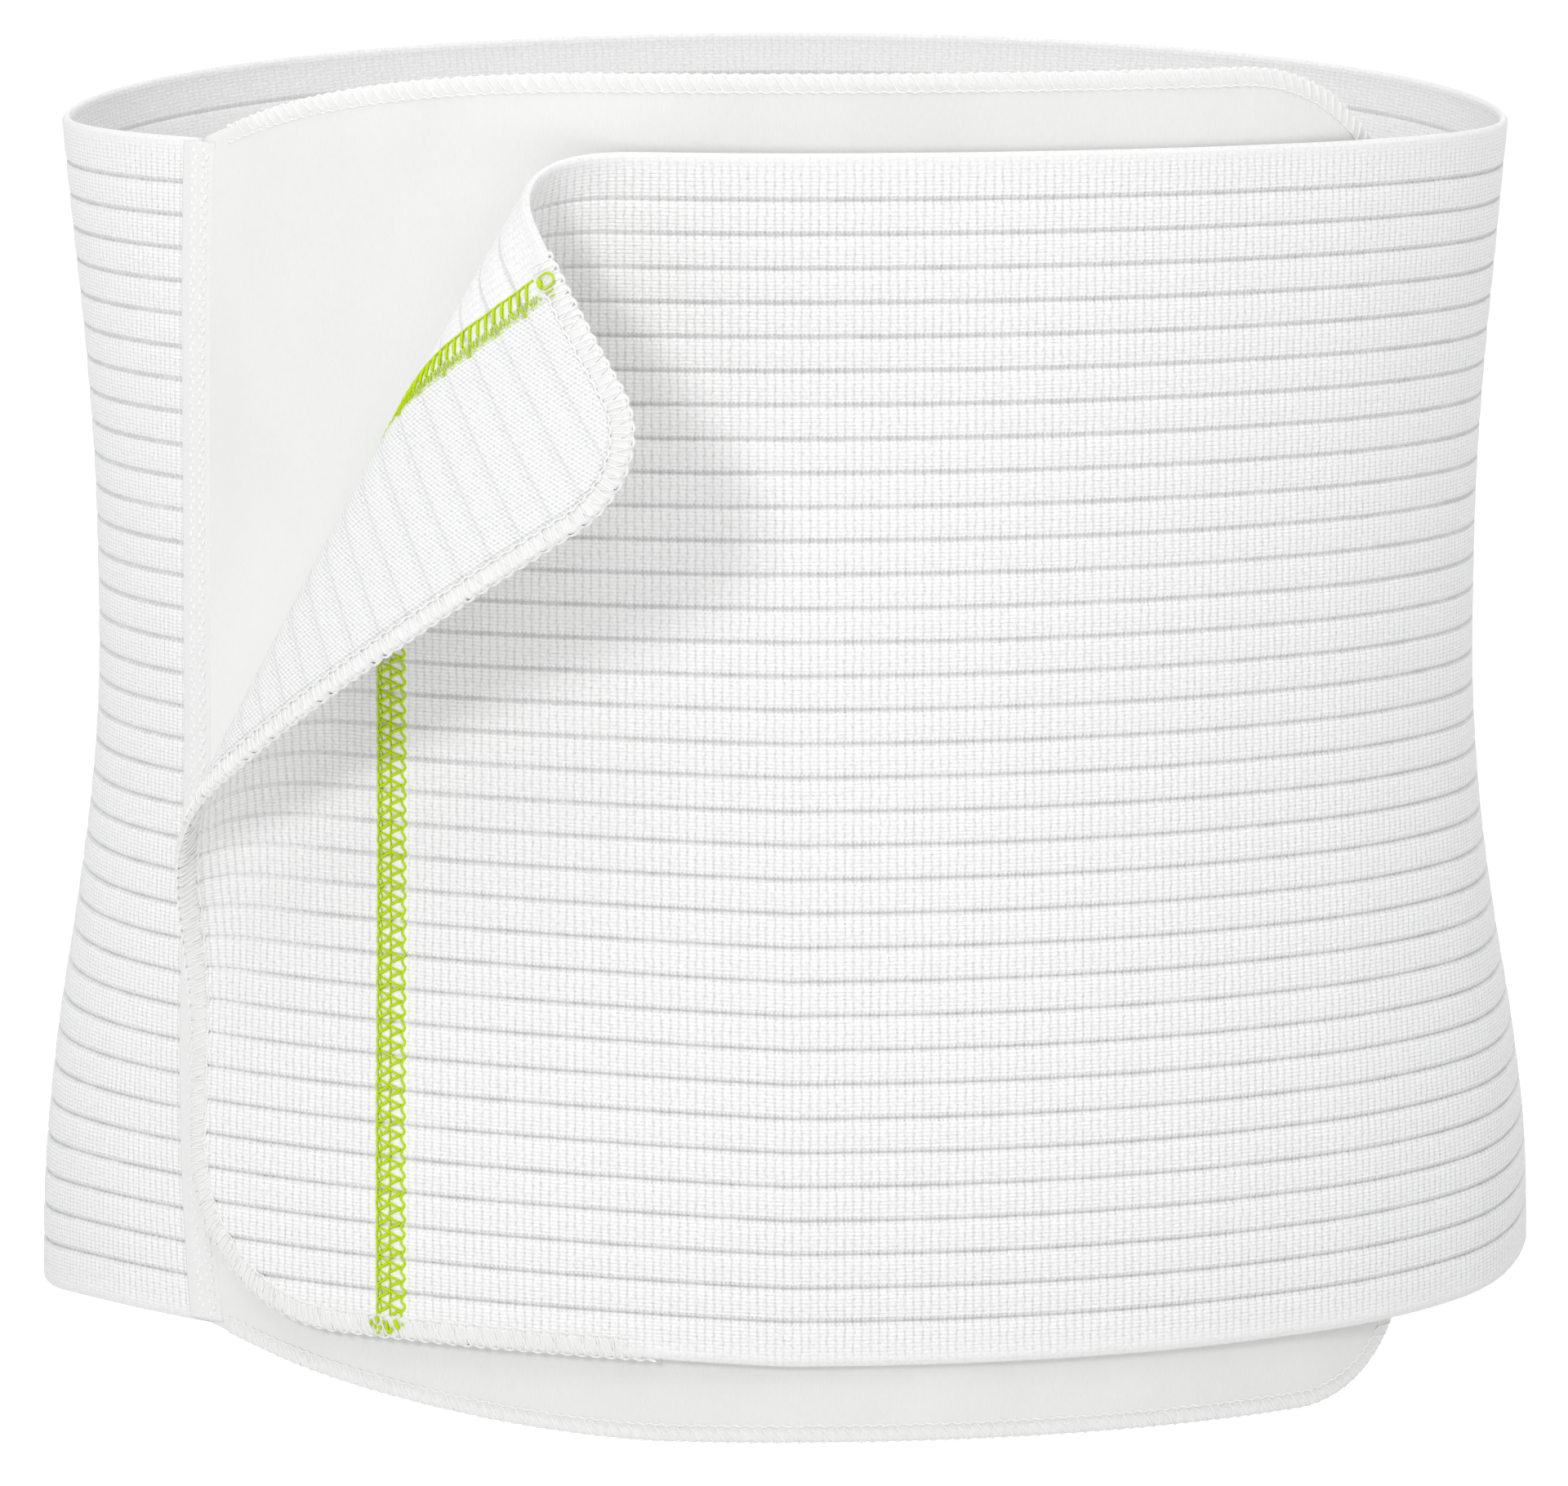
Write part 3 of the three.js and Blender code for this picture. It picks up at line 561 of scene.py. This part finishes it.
elastic, elastic_shader = fabric("ribbed knit elastic", roughness=0.9, sheen=0.15)
knit_place = cloth_place(elastic)
flat_noise = {"noise_dimensions": "2D"}
knit_drift = add(elastic, "ShaderNodeTexNoise", flat_noise, Vector=knit_place, Scale=0.3,
                 Detail=2.0).outputs[1]
knit_shift = add(elastic, "ShaderNodeVectorMath", {"operation": "MULTIPLY_ADD"}, a=knit_drift,
                 b=(0.5, 0.25, 0.0), c=knit_place).outputs[0]
knit_split = add(elastic, "ShaderNodeSeparateXYZ", Vector=knit_shift)


def waves(material, run, pitch, sharpness):
    """Fine lines across a run, one per pitch: a sine from 0 to 1, raised to a power."""
    wave = math_node(material, "SINE", math_node(material, "MULTIPLY", run, 2 * math.pi / pitch))
    return math_node(material, "POWER", math_node(material, "MULTIPLY_ADD", wave, 0.5, 0.5), sharpness)


wales = waves(elastic, knit_split.outputs[0], WALE_PITCH, sharpness=5.0)
courses = waves(elastic, knit_split.outputs[1], COURSE_PITCH, sharpness=2.5)
teeth = waves(elastic, knit_split.outputs[0], WALE_PITCH / 2, sharpness=1.0)
yarn = add(elastic, "ShaderNodeTexNoise", flat_noise, Vector=knit_place, Scale=1.3, Detail=3.0,
           Roughness=0.7).outputs[0]
grooved, crest, plain, veil = (mesh_mark(elastic, name) for name in ("grooved", "crest", "plain", "veil"))
# The knit's fine lines are darkened in colour: partly the yarn's own look, partly painted shade between the
# loops, fainter where the mark named plain is set.
lines = math_node(elastic, "MULTIPLY_ADD", courses, 0.8, wales)
lines = math_node(elastic, "MULTIPLY", lines, math_node(elastic, "MULTIPLY_ADD", plain, -0.8, 1.0))
cells = math_node(elastic, "MULTIPLY", lines, math_node(elastic, "MULTIPLY_ADD", yarn, 2.2, -0.3))
yarn_dark = math_node(elastic, "MULTIPLY_ADD", yarn, 0.3, -0.12)
knit_dark = math_node(elastic, "MULTIPLY_ADD", cells, 0.27, yarn_dark)
# Painted shade in the grooves between the ribs: a dark line with a toothed edge, uneven along the band.
rib_place = math_node(elastic, "ADD", knit_split.outputs[1], RIB_PITCH / 2 - RIB_BORDER - 0.12)
from_groove = math_node(elastic, "ABSOLUTE", math_node(elastic, "SUBTRACT", math_node(
    elastic, "FLOORED_MODULO", rib_place, RIB_PITCH), RIB_PITCH / 2))
groove_edge = math_node(elastic, "SUBTRACT", math_node(elastic, "MULTIPLY_ADD", teeth, 0.6, 0.3), from_groove)
ditch = clamped(elastic, math_node(elastic, "MULTIPLY_ADD", groove_edge, 2.4, 0.4))
uneven = add(elastic, "ShaderNodeTexNoise", flat_noise, Vector=knit_place, Scale=0.12, Detail=2.0).outputs[0]
groove_dark = math_node(elastic, "MULTIPLY", math_node(elastic, "MULTIPLY", ditch, grooved), math_node(
    elastic, "MULTIPLY_ADD", uneven, 0.36, 0.1))
# Painted highlight on the crest just below each groove, broken into teeth.
crest_light = math_node(elastic, "MULTIPLY", crest, math_node(elastic, "MULTIPLY_ADD", teeth, -0.2, -0.05))
# The hems a little darker, and painted shade on the inner face of the flap.
knit_dark = math_node(elastic, "ADD", knit_dark, veil)
knit_share = math_node(elastic, "ADD", math_node(elastic, "ADD", knit_dark, groove_dark), crest_light)
tint(elastic, elastic_shader, clamped(elastic, knit_share), (0.94, 0.94, 0.94), (0.41, 0.41, 0.415))
relief(elastic, elastic_shader, math_node(elastic, "MULTIPLY_ADD", lines, -0.5, yarn), 0.22)

# Marks on the knit: painted shade in the grooves, which fades where the cloth rolls and where the lime seam
# presses it; a painted highlight on the crest just below each groove; plainer knit on the hems and the inner
# face; the hems a little darker, and painted shade on the flap's inner face.
rolled = ease(ramp(past_peel(band_along, band_height), -16.0, 0.0))
beside_lime = np.maximum(np.abs(band_along - LIME_MIDDLE) - LIME_HALF_WIDTH, 0.0)
pressed = np.exp(-(beside_lime / 0.8) ** 2)
ribbed = ramp(hem, 5.5, 8.4)
# Where the painted shade in the grooves shows.
face_grooved = ribbed * (1 - 0.75 * rolled) * (1 - 0.85 * pressed)
below_groove = (band_height - RIB_BORDER + RIB_PITCH / 2) % RIB_PITCH - RIB_PITCH / 2
# Where the painted highlight lies: a narrow band just below each groove, fainter on the inner face.
face_crest = np.exp(-((below_groove + 0.75) / 0.35) ** 2) * (hem > RIB_BORDER - 2)
hem_mark = np.clip(1.6 - hem / 2.2, 0.0, 1.0)
# Where the painted shade on the flap's inner face lies: the flap's part of the band, fading out from 108 to
# 118 mm from its end.
on_flap = ramp(band_along, PEEL_REACH, PEEL_REACH - 10.0)
elastic_wrap = put(
    "elastic_wrap_knit", band_points, band_quads, band_uv, elastic,
    grooved=np.concatenate([face_grooved.ravel(), 0.7 * ribbed.ravel()]),
    crest=np.concatenate([face_crest.ravel(), 0.4 * face_crest.ravel()]),
    plain=np.concatenate([np.maximum(hem_mark, 0.9 * pressed).ravel(), np.maximum(hem_mark, 0.8).ravel()]),
    veil=np.concatenate([0.13 * hem_mark.ravel(), (0.1 * hem_mark + 0.13 * on_flap).ravel()]))
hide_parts("elastic_wrap")

# Panel seam: a flat seam of white thread over the butted edges of the panel and the band's end, with two
# zigzag rows of small stitches on top.
SEAM_HALF_WIDTH = 4.6
SEAM_STITCHES = 175
SEAM_STITCH_PITCH = 1.41
SEAM_STITCH_LENGTH = 1.1
seam_share = np.linspace(-1.0, 1.0, 25)[:, None]
seam_height = np.linspace(0.6, BAND_HEIGHT - 0.6, 420)[None]
seam_crown = 0.34 * (1 - seam_share ** 2) ** 0.8
seam_ripple = 0.05 * np.sin(2 * np.pi * seam_height / 1.7 + 2.2 * seam_share) * (1 - seam_share ** 2)
seam_across = PANEL_SEAM_AT - 0.3 + SEAM_HALF_WIDTH * seam_share + 0 * seam_height
seam_top = on_panel(seam_across, seam_height, CLOTH / 2 - 0.02 + seam_crown + seam_ripple)
seam_under = on_panel(seam_across, seam_height, CLOTH / 2 - 0.2 + 0 * seam_across)
seam_points, seam_quads = shell(seam_top, seam_under)
seam_uv = np.tile(np.stack(np.broadcast_arrays(seam_across, seam_height), -1).reshape(-1, 2), (2, 1))
panel_seam = put("panel_seam_tape", seam_points, seam_quads, seam_uv, padding)
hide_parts("panel_seam")
stitch_row = np.array([-1.2, 1.9])[:, None, None] + PANEL_SEAM_AT
stitch_number = np.arange(SEAM_STITCHES)[None, :, None]
stitch_step = np.linspace(0.0, 1.0, 5)
stitch_side = (2 * (stitch_number % 2) - 1) * np.array([0.4, 0.55])[:, None, None]
stitch_across = stitch_row + stitch_side + 0.25 * stitch_side * (2 * stitch_step - 1)
stitch_height = 1.6 + SEAM_STITCH_PITCH * stitch_number + SEAM_STITCH_LENGTH * stitch_step
stitch_height = np.broadcast_to(stitch_height, stitch_across.shape)
stitch_rise = CLOTH / 2 + np.array([-0.02, 0.06])[:, None, None] + 0.24 * np.sin(np.pi * stitch_step)
stitch_rise = np.broadcast_to(stitch_rise, stitch_across.shape)
stitch_path = on_panel(stitch_across, stitch_height, stitch_rise)
stitch_up = on_panel(stitch_across, stitch_height, stitch_rise + 1) - stitch_path
seam_stitches = put("panel_seam_stitches", *thread(
    stitch_path, stitch_up.reshape(-1, *stitch_up.shape[-2:]), radius=0.38), thread_white)
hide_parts("panel_seam")

# Hook patch: a thin strip of fine hook fastener on the inner face of the flap's end. It grips
# the velour when the flap is closed, and the ribs of the band show through it a little, as dips with painted
# shade beside them.
PATCH_INSET = 3.9
PATCH_REACH = 45.9
patch_rows = np.linspace(PATCH_INSET, BAND_HEIGHT - PATCH_INSET, 700)[None]
patch_share = np.linspace(0.0, 1.0, 30)[:, None]
patch_end = np.maximum(PATCH_INSET, flap_end(patch_rows, PATCH_INSET))
patch_along = patch_end * (1 - patch_share) + PATCH_REACH * patch_share
patch_height = np.broadcast_to(patch_rows, patch_along.shape)
patch_dip = 0.22 * np.exp(-(to_groove(patch_height) / 0.6) ** 2)
patch_hem = np.minimum(patch_rows - PATCH_INSET, BAND_HEIGHT - PATCH_INSET - patch_rows)
patch_rim = np.minimum(patch_hem, patch_share * 30)
patch_wall = 0.24 + 0.26 * np.sqrt(np.clip(patch_rim / 0.5, 0.0, 1.0))
patch_near = -CLOTH / 2 + 0.12
patch_points, patch_quads = shell(
    on_band(patch_along, patch_height, np.full(patch_along.shape, patch_near)),
    on_band(patch_along, patch_height, patch_near - patch_wall + patch_dip))
patch_uv = np.tile(np.stack([patch_along, patch_height], -1).reshape(-1, 2), (2, 1))
hook, hook_shader = fabric("fine hook fastener", roughness=0.8, sheen=0.1)
hook_place = cloth_place(hook)
hook_split = add(hook, "ShaderNodeSeparateXYZ", Vector=hook_place)
hook_slant = math_node(hook, "MULTIPLY_ADD", hook_split.outputs[0], 0.5, hook_split.outputs[1])
hook_rows = waves(hook, hook_slant, pitch=0.95, sharpness=1.5)
hook_columns = waves(hook, hook_split.outputs[0], pitch=0.85, sharpness=1.5)
hook_grain = add(hook, "ShaderNodeTexNoise", flat_noise, Vector=hook_place, Scale=1.6, Detail=3.0,
                 Roughness=0.75).outputs[0]
hooks = math_node(hook, "MULTIPLY", math_node(hook, "ADD", hook_rows, hook_columns), hook_grain)
# hook_ditch is painted shade beside the dips over the band's grooves.
hook_ditch = mesh_mark(hook, "ditch")
hook_dark = math_node(hook, "MULTIPLY_ADD", hooks, 0.55, math_node(hook, "MULTIPLY", hook_ditch, 0.22))
tint(hook, hook_shader, hook_dark, (0.93, 0.93, 0.93), (0.58, 0.58, 0.59))
relief(hook, hook_shader, math_node(hook, "SUBTRACT", 1.0, hooks), 0.2)
# Painted shade along one side of the dips over the band's grooves.
patch_mark = np.exp(-((to_groove(patch_height) - 0.6) / 0.32) ** 2).ravel()
hook_patch = put("hook_patch_strip", patch_points, patch_quads, patch_uv, hook, ditch=np.tile(patch_mark, 2))
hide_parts("hook_patch")

# Flap overlock: white thread wound close round the flap's raw end, from the lower edge round both
# corners to a little past the lime seam on the upper edge, in two layers over a padded edge.
FLAP_STITCH = 1.5
FLAP_CHAIN = 3.0
BINDING_LOW_END = 106.0
BINDING_TOP_END = 56.0
round_bottom = np.linspace(1.5 * np.pi, np.pi, 160)
round_top = np.linspace(np.pi, 0.5 * np.pi, 100)
flap_edge = edge_line(np.concatenate([
    [[BINDING_LOW_END, 0.0]],
    FLAP_CORNER_BOTTOM * (1 + np.stack([np.cos(round_bottom), np.sin(round_bottom)], -1)),
    [FLAP_CORNER_TOP, BAND_HEIGHT - FLAP_CORNER_TOP]
    + FLAP_CORNER_TOP * np.stack([np.cos(round_top), np.sin(round_top)], -1),
    [[BINDING_TOP_END, BAND_HEIGHT]],
])[::-1])
flap_run = (flap_edge, on_band)
wound_end = flap_edge[0][-1] - 1.0
chain_end = flap_edge[0][-1] - 6.0
flap_padding = put("flap_overlock_padding", *welt(
    *flap_run, 1.0, wound_end, FLAP_STITCH, width=4.4, half_wall=0.98, past=0.05), padding)
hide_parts("flap_overlock")
flap_overlock = put("flap_overlock_thread", *together(
    overlock(*flap_run, 1.0, wound_end, FLAP_STITCH,
             slant=1.3, width=4.3, half_wall=1.06, radius=0.22, past=0.12, seed=5),
    overlock(*flap_run, 1.8, wound_end, FLAP_CHAIN,
             slant=-0.6, width=4.0, half_wall=1.1, radius=0.18, past=0.16, seed=8),
    chain(*flap_run, 1.0, wound_end, FLAP_CHAIN, inset=-0.25, offset=0.2, radius=0.34),
    chain(*flap_run, 1.0, chain_end, FLAP_CHAIN, inset=4.45, offset=1.02, radius=0.24),
    chain(*flap_run, 9.0, chain_end, FLAP_CHAIN, inset=3.6, offset=-1.06, radius=0.36),
), thread_white)
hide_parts("flap_overlock")

# Lime seam: the flatlock seam that holds the patch, in lime thread. Outside it is a lattice between a
# doubled left border, a middle line and a right border with small picots.
LIME_FROM = 46.1
LIME_PITCH = 3.05
LIME_LOW = 4.5
LIME_COUNT = 79
ON_FACE = CLOTH / 2 + 0.16
thread_lime, lime_shader = fabric("lime flatlock thread", roughness=0.7, sheen=0.0)
lime_shader.inputs["Specular IOR Level"].default_value = 0.05
lime_ply = plied(thread_lime)
# The dark turns of the ply are painted shade.
tint(thread_lime, lime_shader, lime_ply, (0.42, 0.63, 0.0005), (0.56, 0.77, 0.001))
relief(thread_lime, lime_shader, lime_ply, 0.05)


def seam_thread(across, height, offset, radius, side=1):
    """Threads laid on the flap: places across the seam and heights, at an offset from the middle."""
    across, height, offset = np.broadcast_arrays(across, height, offset)
    path = on_band(LIME_FROM + across, height, side * offset)
    up = on_band(LIME_FROM + across, height, side * (offset + 0.4)) - path
    return thread(path.reshape(-1, *path.shape[-2:]), up.reshape(-1, *up.shape[-2:]), radius)


def seam_strokes(start, end, bow, lift, radius, side=1, pitch=LIME_PITCH):
    """One short thread per stitch from a place to another, both as (across, share of the stitch), with a
    sideways bow and with its middle raised."""
    t = np.linspace(0.0, 1.0, 7)
    stitch = LIME_LOW + pitch * np.arange(int(LIME_COUNT * LIME_PITCH / pitch))[:, None]
    across = start[0] + (end[0] - start[0]) * t + bow * np.sin(np.pi * t)
    height = stitch + pitch * (start[1] + (end[1] - start[1]) * t)
    offset = ON_FACE + lift * np.sin(np.pi * t)
    return seam_thread(across[None], height, offset[None], radius, side)


def seam_end(places, offset, radius, side=1):
    """One thread through a few places of the seam's end, each as (across, height), with the corners
    between them rounded."""
    places = np.array(places)
    t = np.linspace(0.0, len(places) - 1.0, 8 * len(places))
    at = np.arange(len(places))
    dull = lambda k: sum(np.interp(t + d, at, places[:, k]) for d in (-0.2, 0.0, 0.2)) / 3
    taper = np.clip(4 * np.minimum(t, t[-1] - t), 0.55, 1.0)
    return seam_thread(dull(0)[None], dull(1)[None], offset, radius * taper, side)


lime_run = LIME_LOW + np.arange(0.0, LIME_PITCH * LIME_COUNT, LIME_PITCH / 12)
lime_phase = 2 * np.pi * (lime_run - LIME_LOW) / LIME_PITCH
lime_jog = 0.05 * np.sin(lime_run * 0.83) + 0.04 * np.sin(lime_run * 2.1 + 1.0)
picot = (0.5 + 0.5 * np.cos(lime_phase + 1.9)) ** 1.4


def seam_line(across, offset, radius, side=1):
    """One thread that runs the whole length of the seam, with a place across it for each height."""
    return seam_thread(across[None], lime_run[None], offset, radius, side)


lime_parts = [
    seam_line(0.1 + 0.08 * np.cos(lime_phase) + lime_jog, ON_FACE, radius=0.26),
    seam_line(0.6 - 0.32 * np.cos(lime_phase) + lime_jog, ON_FACE + 0.04, radius=0.18),
    seam_line(2.85 + 0.1 * np.sin(lime_phase) + lime_jog, ON_FACE, radius=0.22),
    seam_line(5.4 + 0.75 * picot + lime_jog, ON_FACE, radius=0.27),
    seam_strokes((0.5, 1.0), (5.3, 0.42), bow=0.0, lift=0.14, radius=0.26),
    seam_strokes((0.5, 0.18), (2.75, 0.66), bow=0.0, lift=0.2, radius=0.3),
    seam_strokes((3.0, 0.02), (5.3, 0.42), bow=-0.12, lift=0.2, radius=0.29),
    seam_end([(0.0, 4.2), (0.1, 3.4), (0.35, 2.8)], 1.52, 0.42),
    seam_end([(-0.55, 2.4), (-0.4, 1.9), (-0.05, 1.4)], 1.5, 0.32),
    seam_end([(-1.2, 3.3), (-1.3, 2.0)], 1.5, 0.34),
    seam_end([(0.7, 2.3), (0.95, 1.3)], 1.52, 0.4),
    seam_end([(0.15, 0.9), (0.55, 0.3)], 1.42, 0.38),
    seam_end([(2.3, 3.5), (2.35, 1.7), (2.75, 0.9), (3.2, 1.2), (3.3, 2.1)], 1.52, 0.38),
    seam_end([(4.0, 3.9), (4.4, 2.9), (4.9, 1.8)], 1.52, 0.5),
    seam_end([(1.5, 3.6), (1.6, 2.6)], 1.52, 0.28),
    seam_end([(5.6, 3.4), (5.9, 2.6)], 1.52, 0.26),
]
lime_seam = put("lime_seam_thread", *together(*lime_parts), thread_lime)
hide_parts("lime_seam")

# Lime seam back: the same seam on the inner face, one half a ladder of heavy slanted rungs beside a
# straight border, the other half loose looper threads drawn into small points.
RUNG_PITCH = 2.1
INNER = -1
loop_phase = 2 * np.pi * (lime_run - LIME_LOW) / RUNG_PITCH
back_parts = [
    seam_line(5.0 + lime_jog, ON_FACE, 0.22, INNER),
    seam_strokes((4.9, 0.85), (2.0, 0.2), bow=0.0, lift=0.2, radius=0.34, side=INNER, pitch=RUNG_PITCH),
    seam_strokes((2.0, 0.2), (-1.0, 0.55), bow=0.25, lift=0.3, radius=0.16, side=INNER, pitch=RUNG_PITCH),
    seam_strokes((1.9, 0.95), (-1.0, 0.55), bow=-0.2, lift=0.2, radius=0.11, side=INNER, pitch=RUNG_PITCH),
    seam_line(-0.6 - 0.3 * np.cos(loop_phase - 3.4) + lime_jog, ON_FACE + 0.1, 0.14, INNER),
    seam_line(0.9 + 0.7 * np.sin(1.5 * loop_phase + lime_run), ON_FACE + 0.15, 0.11, INNER),
    seam_end([(1.7, 246.2), (1.5, 248.0), (1.9, 249.3), (3.7, 249.4), (4.5, 248.4), (4.5, 246.4)],
             1.52, 0.24, INNER),
    seam_end([(4.4, 246.4), (2.0, 246.2)], 1.5, 0.6, INNER),
    seam_end([(0.7, 246.4), (0.5, 248.6)], 1.46, 0.19, INNER),
    seam_end([(-0.5, 246.8), (-0.6, 248.2)], 1.44, 0.16, INNER),
]
lime_seam_back = put("lime_seam_back_thread", *together(*back_parts), thread_lime)
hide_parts("lime_seam_back")

# Floor: a plain pale sweep well below the binder, which is held up by what it is worn on.
FLOOR_AT = -0.55
FLOOR_REACH = 30.0
floor_corners = FLOOR_REACH * np.array([(-1, -1, 0), (1, -1, 0), (1, 1, 0), (-1, 1, 0)]) + (0, 0, FLOOR_AT)
floor_mesh = bpy.data.meshes.new("floor")
floor_mesh.from_pydata(floor_corners, [], [(0, 1, 2, 3)])
floor = bpy.data.objects.new("floor", floor_mesh)
bpy.context.scene.collection.objects.link(floor)
floor_white, floor_shader = fabric("pale floor", roughness=1.0, sheen=0.0)
floor_shader.inputs["Base Color"].default_value = (0.8, 0.8, 0.8, 1)
floor_shader.inputs["Emission Color"].default_value = (1, 1, 1, 1)
floor_place = add(floor_white, "ShaderNodeTexCoord").outputs["Object"]
floor_away = add(floor_white, "ShaderNodeVectorMath", {"operation": "LENGTH"}, a=floor_place).outputs["Value"]
floor_glow = add(floor_white, "ShaderNodeMapRange", {"interpolation_type": "SMOOTHSTEP"}, Value=floor_away,
                 From_Min=0.9, From_Max=1.7, To_Min=0.0, To_Max=0.7).outputs[0]
floor_white.node_tree.links.new(floor_glow, floor_shader.inputs["Emission Strength"])
floor_mesh.materials.append(floor_white)

# Light: a white room, a broad lamp overhead, one from the upper left in front, which throws the soft
# shadow of the peeled corner on the flap, a weak one from the right and one from behind.
world = bpy.data.worlds.new("white room")
world.use_nodes = True
world.node_tree.nodes["Background"].inputs["Color"].default_value = (1, 1, 1, 1)
world.node_tree.nodes["Background"].inputs["Strength"].default_value = 0.5
bpy.context.scene.world = world


def lamp(name, place, size, power):
    """A square lamp at a place, tipped and swung so that it shines at the origin."""
    light = bpy.data.lights.new(name, "AREA")
    light.size = size
    light.energy = power
    made = bpy.data.objects.new(name, light)
    x, y, z = place
    made.location = place
    made.rotation_euler = (math.atan2(math.hypot(x, y), z), 0, math.atan2(x, -y))
    bpy.context.scene.collection.objects.link(made)


lamp("key lamp", (-0.95, -2.0, 0.92), size=0.45, power=13.8)
lamp("fill lamp", (1.6, -1.0, 1.2), size=1.0, power=3.3)
lamp("overhead lamp", (0.0, -0.5, 1.9), size=2.2, power=23.0)
lamp("back lamp", (0.5, 2.2, 0.9), size=1.2, power=12.0)

# Camera: in front and a little above, far off with a long lens, looking down by 8.5 degrees.
FRAME_WIDTH = 1920
FOCAL_LENGTH = 9214.3
SENSOR = 36.0
TILT = 8.5146
camera_data = bpy.data.cameras.new("camera")
camera_data.sensor_width = SENSOR
camera_data.lens = SENSOR * FOCAL_LENGTH / FRAME_WIDTH
camera_data.clip_end = 100.0
camera = bpy.data.objects.new("camera", camera_data)
camera.location = (-0.0002, -1.638, 0.2325)
camera.rotation_euler = (math.radians(90 - TILT), 0, 0)
bpy.context.scene.collection.objects.link(camera)
bpy.context.scene.camera = camera
bpy.context.scene.view_settings.view_transform = "Standard"
